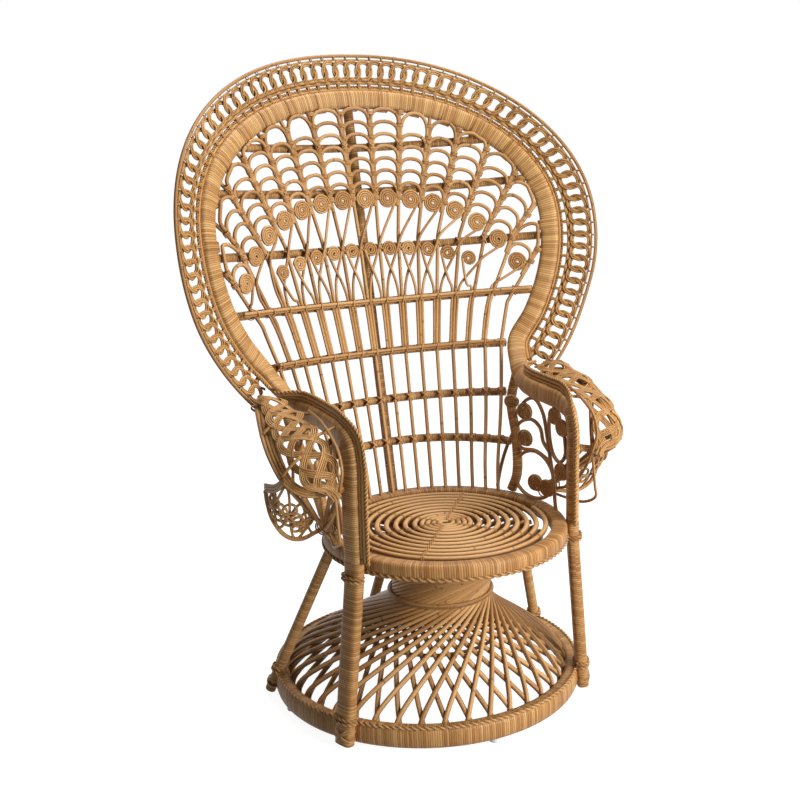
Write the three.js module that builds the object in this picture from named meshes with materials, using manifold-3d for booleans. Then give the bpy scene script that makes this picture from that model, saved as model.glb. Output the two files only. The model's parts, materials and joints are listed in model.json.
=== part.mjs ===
// Rattan peacock chair: a wrapped hoop with a lace border and a feather screen, two scrolled arms,
// a wound round seat and a skirt of crossing strands on a base ring with five legs.
// Millimetres, +Z up. The chair faces -Y, and the model is built around the middle of the seat.
import * as THREE from 'three';
import { mergeVertices } from 'three/addons/utils/BufferGeometryUtils.js';
import Module from 'manifold-3d';

const wasm = await Module();
wasm.setup();

// Gaps between pieces that touch, and under the cane lashings that bind crossing poles.
const CLEARANCE = 0.3;
const LASHING_GAP = 1.2;

// Facets that stand out by less than this are merged after a cut.
const FACET_TOLERANCE = 0.1;

// Seat: a wrapped rim, crossing poles and a flat winding of cane.
const SEAT_TOP = 427;
const RIM_RADIUS = 254;
const RIM_WIDTH = 36;
const RIM_HEIGHT = 34;
const SEAT_CANE = 12;
const CANE_SIDES = 5;
const SEAT_CENTRE_TURNS = 4;
const SEAT_CENTRE_PITCH = 12.8;
const SEAT_OPEN_TURNS = 8;
const SEAT_EDGE_GAP = 4;
const SEAT_POLE = 16;
const SEAT_POLE_ANGLES = [52, 128, 308];

// Base ring and the plastic glides it stands on.
const BASE_RADIUS = 338;
const BASE_BACKSET = 111;
const BASE_WIDTH = 40;
const BASE_HEIGHT = 50;
const GLIDE_COUNT = 4;
const GLIDE_DIAMETER = 26;
const GLIDE_HEIGHT = 9;

// Legs: two flat wrapped pairs in front, three round poles behind.
const FRONT_LEG_ANGLE = -23;
const FRONT_LEG_WIDTH = 46;
const FRONT_LEG_DEPTH = 28;
const FRONT_FOOT_ANGLE = -36;
const LEG_FOOT_INSET = 1;
const REAR_LEG_DIAMETER = 25;
const REAR_LEG_ANGLE = 20;
const REAR_FOOT_ANGLE = 15.7;
const LEG_FOOT_HEIGHT = 10;

// Skirt: two crossing families of strands drawn in at a waist.
const SKIRT_STRANDS = 36;
const SKIRT_STRAND = 8;
const SKIRT_SPREAD = 2.1;
const SKIRT_TWIST_LOW = 70;
const SKIRT_TWIST_HIGH = 45;
const WAIST_RADIUS = 83;
const WAIST_HEIGHT = 260;
const WAIST_BACKSET = 30;
const WAIST_HOOP = 11;
const INNER_HOOP = 8;
const INNER_HOOP_SHARE = 0.5;
const INNER_HOOP_INSET = 19;

// Back: its lean, and how its round plan opens out from the seat to the fan.
const BACK_LEAN = 13;
const FAN_BOW = 700;
const FAN_BOW_START = 470;
const FAN_BOW_END = 900;
const POST_DIAMETER = 24;
const BAR_DIAMETER = 20;
const BAR_HEIGHTS = [1246, 1151, 1015, 885, 759, 647, 541];
const BAR_SAGS = [15, 24, 20, 15, 7, 6, 0];
const RAIL_DIAMETER = 12;
const RAILED_BARS = [3, 4];

// Main hoop: a flat wrapped band that runs from post to post round arms and fan.
const BAND_WIDTH = 44;
const BAND_DEPTH = 27;
const HOOP_HALF_WIDTH = 425;
const HOOP_WIDE_HEIGHT = 1050;
const HOOP_TOP = 1343;
const HOOP_SHOULDER = 2.2;
const HOOP_FOOT_GAP = 8;
const ARM_HEIGHT = 684;
const ARM_CORNER = 52;
const ARM_BACK = 90;
const ARM_RISE = 4;
const NECK_HALF_WIDTH = 300;
const NECK_BACK = 196;
const NECK_RISE = 38;
const NECK_EASE = 16;
const NECK_LEAD = 5;
const NECK_POST_FOOT = 232;

// Lace border outside the hoop.
const BORDER_SIDE = 87;
const BORDER_CROWN = 99;
const BORDER_FOOT = 65;
const EDGE_SHOULDER = 2.25;
const EDGE_END_LEAD = 1;
const EDGE_STRAND_WIDTH = 14;
const EDGE_STRAND_DEPTH = 9;
const LACE_STRAND = 5.5;
const LACE_WAVES = 34;
const LACING_WIDTH = 14;
const LACING_STRAND = 5;
const LACING_ZIGZAGS = 30;

// Feather screen: stems, arches between them and two rows of scrolls.
const STEM_COUNT = 16;
const STEM = 8;
const STEM_TUCK = 0.7;
const STEM_PITCH_SEAT = 35;
const STEM_PITCH_WAIST = 40.5;
const STEM_PITCH_CROWN = 50.5;
const STEM_PITCH_TOP = 82;
const STEM_FLARE = 0.027;
const STEM_FLARE_HEIGHT = 852;
const STEM_FLARE_PLACE = 3.5;
const ARCH_STRAND = 6;
const ARCH_GAP = 17;
const ARCH_STEP = 31;
const ARCH_RISE = 25;
const ARCH_FULLNESS = 0.7;
const ARCH_SHARES = [0, 0.15, 0.5, 0.85, 1];
const SCROLL_THICKNESS = 7;
const SCROLL_BITE = 1.5;
const LARGE_SCROLL = 42;
const LARGE_SCROLL_HEIGHT = 1108;
const LARGE_SCROLL_DROP = 160;
const LARGE_SCROLL_COLUMNS = 7;
const SMALL_SCROLL = 31;
const SMALL_SCROLL_HEIGHT = 991;
const SMALL_SCROLL_DROP = 32;
const SMALL_SCROLL_COLUMNS = 5;
const SCROLL_FALL = 2.7;

// Arms: scroll panel inside, rolled lace outside, a leaf shaped wing below.
const PANEL_STRAND = 8;
const PANEL_SCROLL = 40;
const ROLL_STRAND = 14;
const ROLL_REACH = 412;
const ROLL_DROP = 99;
const ROLL_SHOULDER = 75;
const ROLL_SAG = 30;
const ROLL_TUCK = 8;
const ROLL_STEPS = 20;
const ROLL_RIB = 9;
const ROLL_LACINGS = 12;
const ROLL_SHARE = 0.85;
const LACE_REACHES = [0.25, 0.55, 0.9];
const ROLL_SWELL = 26;
const WING_STRAND = 10;
const WING_RIB = 6;
const WING_RIBS = 2;
const WING_ROOT_ANGLE = -14;
const WING_REACH = 0.97;
const WING_TIP_BACK = 10;
const WING_BOW = 18;
const WING_BELLY = 70;
const WING_BROW = 12;
const WING_STEPS = 7;
const WING_TIES = [13, 16];

const RATTAN = { color: 0xb07f45, roughness: 0.55, metalness: 0 };
const WRAPPED = { color: 0x9a6835, roughness: 0.5, metalness: 0 };
const LACE = { color: 0xc09355, roughness: 0.6, metalness: 0 };
const PLASTIC = { color: 0xe6e2da, roughness: 0.4, metalness: 0 };

// Steps of rings, hoops, bars and border strands.
const RING_STEPS = 32;
const HOOP_STEPS = 24;
const HOOP_HALF_STEPS = 13;
const BAR_STEPS = 10;
const EDGE_STEPS = 44;
const STRAND_STEPS = 36;

const chair = new THREE.Group();
const rad = THREE.MathUtils.degToRad;
const TURN = 360;

function point(x, y, z) {
  return new THREE.Vector3(x, y, z);
}

function polar(radius, degrees, z, backset = 0) {
  return point(radius * Math.cos(rad(degrees)), backset + radius * Math.sin(rad(degrees)), z);
}

function mirrored(vector) {
  return point(-vector.x, vector.y, vector.z);
}

function sided(vector, side) {
  return point(side * vector.x, vector.y, vector.z);
}

// Closed section with flats facing up and down, given by its full width and height over the flats.
// A three sided one keeps its corners closer in, with its flat facing up.
const CORNER_REACH = 1.3;

function section(width, height, sides) {
  const reach = sides === 3 ? CORNER_REACH : 1 / Math.cos(Math.PI / sides);
  return Array.from({ length: sides }, (_, k) => {
    const angle = ((k + 0.5) * 2 * Math.PI) / sides;
    const across = sides % 4 === 0 ? reach : 1;
    return new THREE.Vector2((width / 2) * across * Math.sin(angle), (height / 2) * reach * Math.cos(angle));
  });
}

function round(diameter, sides) {
  return section(diameter, diameter, sides);
}

// One closed geometry with shared corners and faces that point out.
function tidy(geometry) {
  geometry.deleteAttribute('normal');
  geometry.deleteAttribute('uv');
  const merged = mergeVertices(geometry, 1e-4);
  const spots = merged.attributes.position;
  const corners = merged.index.array;
  const [a, b, c] = [point(), point(), point()];
  let volume = 0;
  for (let i = 0; i < corners.length; i += 3) {
    a.fromBufferAttribute(spots, corners[i]);
    b.fromBufferAttribute(spots, corners[i + 1]);
    c.fromBufferAttribute(spots, corners[i + 2]);
    volume += a.dot(b.cross(c));
  }
  if (volume < 0) {
    for (let i = 0; i < corners.length; i += 3) {
      [corners[i], corners[i + 1]] = [corners[i + 1], corners[i]];
    }
  }
  return merged;
}

// Loft of one section along a path. The section's height follows the facing vectors, or, without
// them, a direction carried along the path without twist.
function sweep(path, outline, facings = null) {
  const last = path.length - 1;
  const positions = [];
  let carried = null;
  path.forEach((spot, i) => {
    const along = path[Math.min(i + 1, last)].clone().sub(path[Math.max(i - 1, 0)]).normalize();
    if (!carried) {
      carried = Math.abs(along.z) < 0.9 ? point(0, 0, 1) : point(0, -1, 0);
    }
    const wanted = facings ? facings[i] : carried;
    const across = new THREE.Vector3().crossVectors(along, wanted).normalize();
    const facing = new THREE.Vector3().crossVectors(across, along).normalize();
    carried = facing;
    for (const { x, y } of outline) {
      positions.push(...spot.clone().addScaledVector(across, x).addScaledVector(facing, y).toArray());
    }
  });
  const sides = outline.length;
  const corners = [];
  for (let i = 0; i < last; i++) {
    for (let k = 0; k < sides; k++) {
      const next = (k + 1) % sides;
      const [p, q] = [i * sides + k, i * sides + next];
      corners.push(p, q, p + sides, q, q + sides, p + sides);
    }
  }
  for (let k = 1; k < sides - 1; k++) {
    corners.push(0, k + 1, k);
    corners.push(last * sides, last * sides + k, last * sides + k + 1);
  }
  const geometry = new THREE.BufferGeometry();
  geometry.setAttribute('position', new THREE.Float32BufferAttribute(positions, 3));
  geometry.setIndex(corners);
  return tidy(geometry);
}

function tube(path, diameter, sides = 6) {
  return sweep(path, round(diameter, sides));
}

function smooth(points, steps) {
  return new THREE.CatmullRomCurve3(points, false, 'centripetal').getPoints(steps);
}

// Ring about a vertical axis, with an oval section.
function ring(radius, width, height, centre, steps, sides) {
  const outline = section(width, height, sides).map(({ x, y }) => new THREE.Vector2(radius + x, y));
  outline.push(outline[0].clone());
  const geometry = new THREE.LatheGeometry(outline, steps);
  geometry.rotateX(Math.PI / 2);
  geometry.translate(centre.x, centre.y, centre.z);
  return tidy(geometry);
}

function solidOf(geometry) {
  return new wasm.Manifold(new wasm.Mesh({
    numProp: 3,
    vertProperties: Float32Array.from(geometry.attributes.position.array),
    triVerts: Uint32Array.from(geometry.index.array),
  }));
}

function geometryOf(solid) {
  const mesh = solid.getMesh();
  const geometry = new THREE.BufferGeometry();
  geometry.setAttribute('position', new THREE.Float32BufferAttribute(mesh.vertProperties, 3));
  geometry.setIndex(Array.from(mesh.triVerts));
  return geometry;
}

function join(geometries) {
  return geometryOf(geometries.map(solidOf).reduce((whole, next) => whole.add(next)));
}

// Trims a piece where others pass. Ends cut right off are waste, so the largest body stays.
function cut(geometry, cutters) {
  const trimmed = cutters.map(solidOf).reduce((whole, next) => whole.subtract(next), solidOf(geometry));
  const bodies = trimmed.decompose().sort((a, b) => b.volume() - a.volume());
  return geometryOf(bodies[0].asOriginal().simplify(FACET_TOLERANCE));
}

function add(name, geometry, finish) {
  geometry.computeVertexNormals();
  const mesh = new THREE.Mesh(geometry, new THREE.MeshStandardMaterial(finish));
  mesh.name = name;
  chair.add(mesh);
}

// Base ring and glides.
const BASE_BOTTOM = GLIDE_HEIGHT + CLEARANCE;
const BASE_MIDDLE = point(0, BASE_BACKSET, BASE_BOTTOM + BASE_HEIGHT / 2);

function baseRing(grown) {
  return ring(BASE_RADIUS, BASE_WIDTH + 2 * grown, BASE_HEIGHT + 2 * grown, BASE_MIDDLE, RING_STEPS, 6);
}

function buildBase() {
  add('base_ring', baseRing(0), WRAPPED);
  for (let k = 0; k < GLIDE_COUNT; k++) {
    const spot = polar(BASE_RADIUS, -90 + (k * TURN) / GLIDE_COUNT, 0, BASE_BACKSET);
    const profile = [
      new THREE.Vector2(0, 0),
      new THREE.Vector2(GLIDE_DIAMETER / 2 - GLIDE_HEIGHT / 3, 0),
      new THREE.Vector2(GLIDE_DIAMETER / 2, GLIDE_HEIGHT / 3),
      new THREE.Vector2(GLIDE_DIAMETER / 2, GLIDE_HEIGHT),
      new THREE.Vector2(0, GLIDE_HEIGHT),
    ];
    const glide = new THREE.LatheGeometry(profile, 8);
    glide.rotateX(Math.PI / 2);
    glide.translate(spot.x, spot.y, 0);
    add(`glide_${k + 1}`, tidy(glide), PLASTIC);
  }
}

// Seat rim, poles and winding.
const RIM_MIDDLE = SEAT_TOP - RIM_HEIGHT / 2;
const RIM_OUTSIDE = RIM_RADIUS + RIM_WIDTH / 2;
const SKIRT_TOP = SEAT_TOP - RIM_HEIGHT - SKIRT_STRAND / 4;

function seatRim(grown) {
  const centre = point(0, 0, RIM_MIDDLE);
  return ring(RIM_RADIUS, RIM_WIDTH + 2 * grown, RIM_HEIGHT + 2 * grown, centre, RING_STEPS, 6);
}

function windingPath() {
  const steps = 16;
  const start = SEAT_CANE / 2 + 1;
  const tight = start + SEAT_CENTRE_TURNS * SEAT_CENTRE_PITCH;
  const end = RIM_RADIUS - RIM_WIDTH / 2 - SEAT_EDGE_GAP - SEAT_CANE / 2;
  const openPitch = (end - tight) / SEAT_OPEN_TURNS;
  const turns = SEAT_CENTRE_TURNS + SEAT_OPEN_TURNS;
  const height = SEAT_TOP - SEAT_CANE / 2;
  const path = [];
  for (let k = 0; k <= turns * steps; k++) {
    const turn = k / steps;
    const open = Math.max(turn - SEAT_CENTRE_TURNS, 0);
    const radius = start + Math.min(turn, SEAT_CENTRE_TURNS) * SEAT_CENTRE_PITCH + open * openPitch;
    path.push(polar(radius, turn * TURN, height));
  }
  const away = path.at(-1).clone().sub(path.at(-2)).normalize();
  path.push(path.at(-1).clone().addScaledVector(away, SEAT_CANE));
  let least = Infinity;
  path.forEach((spot, i) => {
    for (let j = i + steps / 2; j < path.length; j++) {
      least = Math.min(least, spot.distanceTo(path[j]) - SEAT_CANE);
    }
  });
  console.log(`least gap of the seat winding to itself ${least.toFixed(2)} mm`);
  return path;
}

function buildSeat() {
  add('seat_rim', seatRim(0), WRAPPED);
  add('seat_winding', tube(windingPath(), SEAT_CANE, CANE_SIDES), RATTAN);
  const caneDepth = (SEAT_CANE / 2) * (1 + 1 / Math.cos(Math.PI / CANE_SIDES));
  const poleHeight = SEAT_TOP - caneDepth - CLEARANCE - SEAT_POLE / 2;
  const names = ['long', 'rear', 'front'];
  const rim = seatRim(CLEARANCE);
  const laid = [];
  SEAT_POLE_ANGLES.forEach((angle, k) => {
    const start = k === 0 ? polar(-RIM_RADIUS, angle, poleHeight) : point(0, 0, poleHeight);
    const path = [start, polar(RIM_RADIUS, angle, poleHeight)];
    add(`seat_pole_${names[k]}`, cut(sweep(path, round(SEAT_POLE, 6)), [rim, ...laid]), RATTAN);
    laid.push(sweep(path, round(SEAT_POLE + 2 * CLEARANCE, 6)));
  });
}

// Legs.
const FOOT_RADIUS = BASE_RADIUS + BASE_WIDTH / 2 + LEG_FOOT_INSET;
const FRONT_LEG_RADIUS = RIM_OUTSIDE + FRONT_LEG_DEPTH / 2 + CLEARANCE;
const LEG_TOP = SEAT_TOP - HOOP_FOOT_GAP;

function buildLegs() {
  const base = baseRing(CLEARANCE);
  const rim = seatRim(CLEARANCE);
  for (const [side, name] of [[1, 'right'], [-1, 'left']]) {
    const foot = sided(polar(FOOT_RADIUS, FRONT_FOOT_ANGLE, LEG_FOOT_HEIGHT, BASE_BACKSET), side);
    const top = sided(polar(FRONT_LEG_RADIUS, FRONT_LEG_ANGLE, LEG_TOP), side);
    const inward = point(-top.x, -top.y, 0);
    const knee = top.clone().setZ(SEAT_TOP - RIM_HEIGHT);
    const outline = section(FRONT_LEG_WIDTH, FRONT_LEG_DEPTH, 8);
    const front = sweep([foot, knee, top], outline, [inward, inward, inward]);
    add(`front_leg_${name}`, cut(front, [base, rim]), WRAPPED);
    const rearRadius = FOOT_RADIUS + REAR_LEG_DIAMETER / 2;
    const rearFoot = polar(rearRadius, REAR_FOOT_ANGLE, LEG_FOOT_HEIGHT, BASE_BACKSET);
    const rearTop = polar(RIM_RADIUS, REAR_LEG_ANGLE, RIM_MIDDLE);
    const rear = tube([sided(rearFoot, side), sided(rearTop, side)], REAR_LEG_DIAMETER, 8);
    add(`rear_leg_${name}`, cut(rear, [base, rim]), WRAPPED);
  }
  const backFoot = polar(BASE_RADIUS, 90, BASE_MIDDLE.z, BASE_BACKSET);
  const backTop = point(0, RIM_RADIUS - RIM_WIDTH / 4, RIM_MIDDLE - RIM_HEIGHT / 4);
  const back = tube([backFoot, backTop], REAR_LEG_DIAMETER, 8);
  add('back_leg', cut(back, [base, rim]), WRAPPED);
}

// Skirt: strands laced up and down between base ring, waist and seat rim, in one run per family.
function skirtStrand(k, turn, lift) {
  const start = (k * TURN) / SKIRT_STRANDS;
  const inside = BASE_RADIUS - BASE_WIDTH / 2 - CLEARANCE - SKIRT_STRAND;
  const high = RIM_RADIUS - RIM_WIDTH / 2;
  return [
    polar(inside, start, BASE_MIDDLE.z + lift, BASE_BACKSET),
    polar(WAIST_RADIUS + lift, start + turn * SKIRT_TWIST_LOW, WAIST_HEIGHT, WAIST_BACKSET),
    polar(high, start + turn * (SKIRT_TWIST_LOW + SKIRT_TWIST_HIGH), SKIRT_TOP - lift),
  ];
}

function skirtRun(turn, lift) {
  const path = [];
  for (let k = 0; k < SKIRT_STRANDS; k++) {
    const strand = skirtStrand(k, turn, lift);
    path.push(...(k % 2 ? strand.reverse() : strand));
  }
  return tube(path, SKIRT_STRAND, 3);
}

function buildSkirt() {
  const outerLift = SKIRT_STRAND * SKIRT_SPREAD;
  add('skirt_inner', skirtRun(-1, 0), RATTAN);
  add('skirt_outer', skirtRun(1, outerLift), RATTAN);
  const waist = WAIST_RADIUS + outerLift + SKIRT_STRAND * CORNER_REACH + WAIST_HOOP / 2 + CLEARANCE;
  const waistMiddle = point(0, WAIST_BACKSET, WAIST_HEIGHT);
  add('waist_hoop', ring(waist, WAIST_HOOP, WAIST_HOOP, waistMiddle, HOOP_STEPS, 6), RATTAN);
  const [low, high] = skirtStrand(0, -1, 0);
  const crossing = low.lerp(high, INNER_HOOP_SHARE);
  const middle = BASE_BACKSET + (WAIST_BACKSET - BASE_BACKSET) * INNER_HOOP_SHARE;
  const inside = Math.hypot(crossing.x, crossing.y - middle) - INNER_HOOP_INSET;
  const innerMiddle = point(0, middle, crossing.z);
  add('inner_hoop', ring(inside, INNER_HOOP, INNER_HOOP, innerMiddle, HOOP_STEPS, 4), RATTAN);
}

// Neck: where the arms turn up into the fan, and how far the fan's oval drops to reach it.
const NECK_HEIGHT = ARM_HEIGHT + NECK_RISE;
const NECK_ANGLE = THREE.MathUtils.radToDeg(Math.acos(NECK_HALF_WIDTH / HOOP_HALF_WIDTH));
const HOOP_DROP = (HOOP_WIDE_HEIGHT - NECK_HEIGHT - NECK_EASE) / Math.sin(rad(NECK_ANGLE));
const HOOP_START = NECK_LEAD - NECK_ANGLE;
const EDGE_END_ANGLE = EDGE_END_LEAD - NECK_ANGLE;
const HOOP_ANGLE_STEP = (90 - HOOP_START) / HOOP_HALF_STEPS;

// Back surface: level arcs that open out from the seat's round plan to the fan.
const LEAN = Math.tan(rad(BACK_LEAN));
const POST_LIFT = -(BAR_DIAMETER / 2 + LASHING_GAP + POST_DIAMETER / 2);
const SCREEN_LIFT = BAR_DIAMETER / 2 + LASHING_GAP + STEM / 2;
const RAIL_LIFT = SCREEN_LIFT + STEM / 2 + LASHING_GAP / 2 + RAIL_DIAMETER / 2;
const BACK_RADIUS = RIM_OUTSIDE + CLEARANCE + POST_DIAMETER / 2 + (RIM_HEIGHT / 2) * LEAN
  + POST_LIFT / Math.cos(rad(BACK_LEAN));

function backLine(z) {
  return BACK_RADIUS + (z - SEAT_TOP) * LEAN;
}

function bowRadius(z) {
  return BACK_RADIUS + (FAN_BOW - BACK_RADIUS) * THREE.MathUtils.smoothstep(z, FAN_BOW_START, FAN_BOW_END);
}

function backDepth(x, z) {
  const bow = bowRadius(z);
  return backLine(z) - bow + Math.sqrt(Math.max(bow * bow - x * x, 1));
}

function backFacing(x, z) {
  const slopeX = (backDepth(x + 1, z) - backDepth(x - 1, z)) / 2;
  const slopeZ = (backDepth(x, z + 1) - backDepth(x, z - 1)) / 2;
  return point(slopeX, -1, slopeZ).normalize();
}

function backPoint(x, z, lift = 0) {
  return point(x, backDepth(x, z), z).addScaledVector(backFacing(x, z), lift);
}

// Point at an arc length from the middle of the back.
function arcPoint(arc, z, lift = 0) {
  return backPoint(bowRadius(z) * Math.sin(arc / bowRadius(z)), z, lift);
}

// Oval of hoop and border edge: angle 0 is its widest place, 90 its top.
function oval(angle, halfWidth, top, drop, shoulder) {
  const [c, s] = [Math.cos(rad(angle)), Math.sin(rad(angle))];
  if (angle < 0) {
    return { x: halfWidth * c, z: HOOP_WIDE_HEIGHT + drop * s };
  }
  const power = 2 / shoulder;
  const rise = top - HOOP_WIDE_HEIGHT;
  return { x: halfWidth * Math.abs(c) ** power * Math.sign(c), z: HOOP_WIDE_HEIGHT + rise * s ** power };
}

function hoopOval(angle) {
  return oval(angle, HOOP_HALF_WIDTH, HOOP_TOP, HOOP_DROP, HOOP_SHOULDER);
}

function edgeOval(angle) {
  const [halfWidth, top] = [HOOP_HALF_WIDTH + BORDER_SIDE, HOOP_TOP + BORDER_CROWN];
  return oval(angle, halfWidth, top, HOOP_DROP + BORDER_FOOT, EDGE_SHOULDER);
}

// Hoop centreline from the right post to the left, with the way its flat side faces.
function hoopLine() {
  const foot = polar(RIM_OUTSIDE + CLEARANCE + BAND_DEPTH / 2, FRONT_LEG_ANGLE, LEG_TOP + CLEARANCE);
  const inward = point(-foot.x, -foot.y, 0).normalize();
  const sideways = point(-1, 0, 0);
  const eased = ARM_CORNER * (1 - Math.SQRT1_2);
  const neckFacing = backFacing(NECK_HALF_WIDTH, NECK_HEIGHT);
  const bendFacing = sideways.clone().add(neckFacing).setZ(0);
  const bendHeight = ARM_HEIGHT + (NECK_HEIGHT - ARM_HEIGHT) / 4;
  const half = [
    [foot, inward],
    [point(foot.x, foot.y, (foot.z + ARM_HEIGHT) / 2), inward],
    [point(foot.x, foot.y, ARM_HEIGHT - ARM_CORNER), inward],
    [point(foot.x, foot.y + eased, ARM_HEIGHT - eased), inward],
    [point(foot.x, foot.y + ARM_CORNER, ARM_HEIGHT), sideways],
    [point(foot.x, (foot.y + ARM_BACK) / 2, ARM_HEIGHT + ARM_RISE / 2), sideways],
    [point(foot.x + ARM_RISE, ARM_BACK, ARM_HEIGHT + ARM_RISE), sideways],
    [point((foot.x + NECK_HALF_WIDTH) / 2, (ARM_BACK + NECK_BACK) / 2, bendHeight), bendFacing],
    [point(NECK_HALF_WIDTH, NECK_BACK, NECK_HEIGHT), neckFacing],
  ];
  for (let k = 0; k < HOOP_HALF_STEPS; k++) {
    const { x, z } = hoopOval(HOOP_START + k * HOOP_ANGLE_STEP);
    half.push([backPoint(x, z), backFacing(x, z)]);
  }
  const left = half.map(([spot, facing]) => [mirrored(spot), mirrored(facing)]).reverse();
  const crown = [backPoint(0, HOOP_TOP), backFacing(0, HOOP_TOP)];
  const whole = [...half, crown, ...left];
  return { spots: whole.map(([spot]) => spot), facings: whole.map(([, facing]) => facing) };
}

function hoopBand(grown) {
  const { spots, facings } = hoopLine();
  return sweep(spots, section(BAND_WIDTH + 2 * grown, BAND_DEPTH + 2 * grown, 8), facings);
}

// Posts between seat and neck that close the arm panels at the back.
function neckPost(side, grown) {
  const path = [0, 0.2, 0.45, 0.7].map((share) => {
    const z = RIM_MIDDLE + (NECK_HEIGHT - RIM_MIDDLE) * share;
    return backPoint(NECK_POST_FOOT + (NECK_HALF_WIDTH - NECK_POST_FOOT) * share, z);
  });
  path.push(point(NECK_HALF_WIDTH, NECK_BACK, NECK_HEIGHT));
  return tube(path.map((spot) => sided(spot, side)), POST_DIAMETER + 2 * grown, 6);
}

// Half width that a bar spans at its height, to the middle of hoop or neck post.
function barReach(z) {
  if (z < NECK_HEIGHT) {
    const share = (z - RIM_MIDDLE) / (NECK_HEIGHT - RIM_MIDDLE);
    return NECK_POST_FOOT + (NECK_HALF_WIDTH - NECK_POST_FOOT) * share;
  }
  const level = z - HOOP_WIDE_HEIGHT;
  if (level < 0) {
    return HOOP_HALF_WIDTH * Math.sqrt(1 - (level / HOOP_DROP) ** 2);
  }
  const rise = (level / (HOOP_TOP - HOOP_WIDE_HEIGHT)) ** HOOP_SHOULDER;
  return HOOP_HALF_WIDTH * (1 - rise) ** (1 / HOOP_SHOULDER);
}

function barHeight(k, x) {
  const share = x / barReach(BAR_HEIGHTS[k]);
  return BAR_HEIGHTS[k] - BAR_SAGS[k] * (1 - share * share);
}

function barPath(k, lift) {
  const reach = barReach(BAR_HEIGHTS[k]);
  const path = [];
  const facings = [];
  for (let i = 0; i <= BAR_STEPS; i++) {
    const x = reach * ((2 * i) / BAR_STEPS - 1);
    path.push(backPoint(x, barHeight(k, x), lift));
    facings.push(backFacing(x, barHeight(k, x)));
  }
  return { path, facings };
}

function backBar(k, grown) {
  const { path, facings } = barPath(k, 0);
  return sweep(path, round(BAR_DIAMETER + 2 * grown, 6), facings);
}

function buildBack() {
  const grownHoop = hoopBand(CLEARANCE);
  const rim = seatRim(CLEARANCE);
  const grownPosts = [neckPost(1, CLEARANCE), neckPost(-1, CLEARANCE)];
  add('main_hoop', hoopBand(0), WRAPPED);
  add('neck_post_right', cut(neckPost(1, 0), [grownHoop, rim]), WRAPPED);
  add('neck_post_left', cut(neckPost(-1, 0), [grownHoop, rim]), WRAPPED);
  const postFoot = backPoint(0, RIM_MIDDLE - RIM_HEIGHT / 4, POST_LIFT);
  const postHead = backPoint(0, HOOP_TOP, POST_LIFT);
  add('back_post', cut(tube([postFoot, postHead], POST_DIAMETER, 6), [grownHoop, rim]), WRAPPED);
  BAR_HEIGHTS.forEach((_, k) => {
    add(`back_bar_${k + 1}`, cut(backBar(k, 0), [grownHoop, ...grownPosts]), WRAPPED);
  });
  for (const k of RAILED_BARS) {
    const { path, facings } = barPath(k, RAIL_LIFT);
    const rail = sweep(path, round(RAIL_DIAMETER, 4), facings);
    add(`front_rail_${k + 1}`, cut(rail, [grownHoop]), RATTAN);
  }
}

// Border: places between the hoop's outer edge and the border's edge, at a distance from either.
function borderSpot(angle, fromHoop, fromEdge, lift) {
  const [inside, outside] = [hoopOval(angle), edgeOval(angle)];
  const across = new THREE.Vector2(outside.x - inside.x, outside.z - inside.z);
  const span = across.length();
  const distance = fromEdge === null ? BAND_WIDTH / 2 + fromHoop : span - fromEdge;
  across.setLength(distance);
  return backPoint(inside.x + across.x, inside.z + across.y, lift);
}

// Angles that step evenly along the border, from the right arm over the top to the left arm.
function borderAngles(count) {
  const fine = 400;
  const sweepAngle = 180 - 2 * EDGE_END_ANGLE;
  const angles = Array.from({ length: fine + 1 }, (_, i) => EDGE_END_ANGLE + (sweepAngle * i) / fine);
  const lengths = [0];
  for (let i = 1; i <= fine; i++) {
    const [a, b] = [borderAt(angles[i - 1], 0, null, 0), borderAt(angles[i], 0, null, 0)];
    lengths.push(lengths[i - 1] + a.distanceTo(b));
  }
  return Array.from({ length: count + 1 }, (_, k) => {
    const wanted = (lengths[fine] * k) / count;
    const i = Math.max(lengths.findIndex((length) => length >= wanted - 1e-6), 1);
    const share = (wanted - lengths[i - 1]) / (lengths[i] - lengths[i - 1]);
    return angles[i - 1] + (angles[i] - angles[i - 1]) * share;
  });
}

function borderAt(angle, fromHoop, fromEdge, lift) {
  if (angle > 90) {
    return mirrored(borderSpot(180 - angle, fromHoop, fromEdge, lift));
  }
  return borderSpot(angle, fromHoop, fromEdge, lift);
}

function borderFacing(angle) {
  const { x, z } = hoopOval(angle > 90 ? 180 - angle : angle);
  const facing = backFacing(x, z);
  return angle > 90 ? mirrored(facing) : facing;
}

// Strand that keeps one distance from the hoop or from the border's edge.
function borderRun(angles, fromHoop, fromEdge, width, depth) {
  const path = angles.map((angle) => borderAt(angle, fromHoop, fromEdge, 0));
  return sweep(path, section(width, depth, 4), angles.map(borderFacing));
}

// Two waves of strand that cross between the inner strand and the edge, one before the other.
function laceWave(lift, shift) {
  const angles = borderAngles(LACE_WAVES * 4);
  const inner = LACING_WIDTH + LACING_STRAND - CLEARANCE + LACE_STRAND / 2;
  const outer = EDGE_STRAND_WIDTH / 2 + CLEARANCE + LACE_STRAND / 2;
  const path = angles.map((angle, i) => {
    const low = borderAt(angle, inner, null, lift);
    const high = borderAt(angle, null, outer, lift);
    const share = [0, 0.5, 1, 0.5][(i + shift) % 4];
    return low.lerp(high, share);
  });
  const away = angles.map((angle) => borderFacing(angle).multiplyScalar(-Math.sign(lift)));
  return sweep(path, round(LACE_STRAND, 3), away);
}

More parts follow.
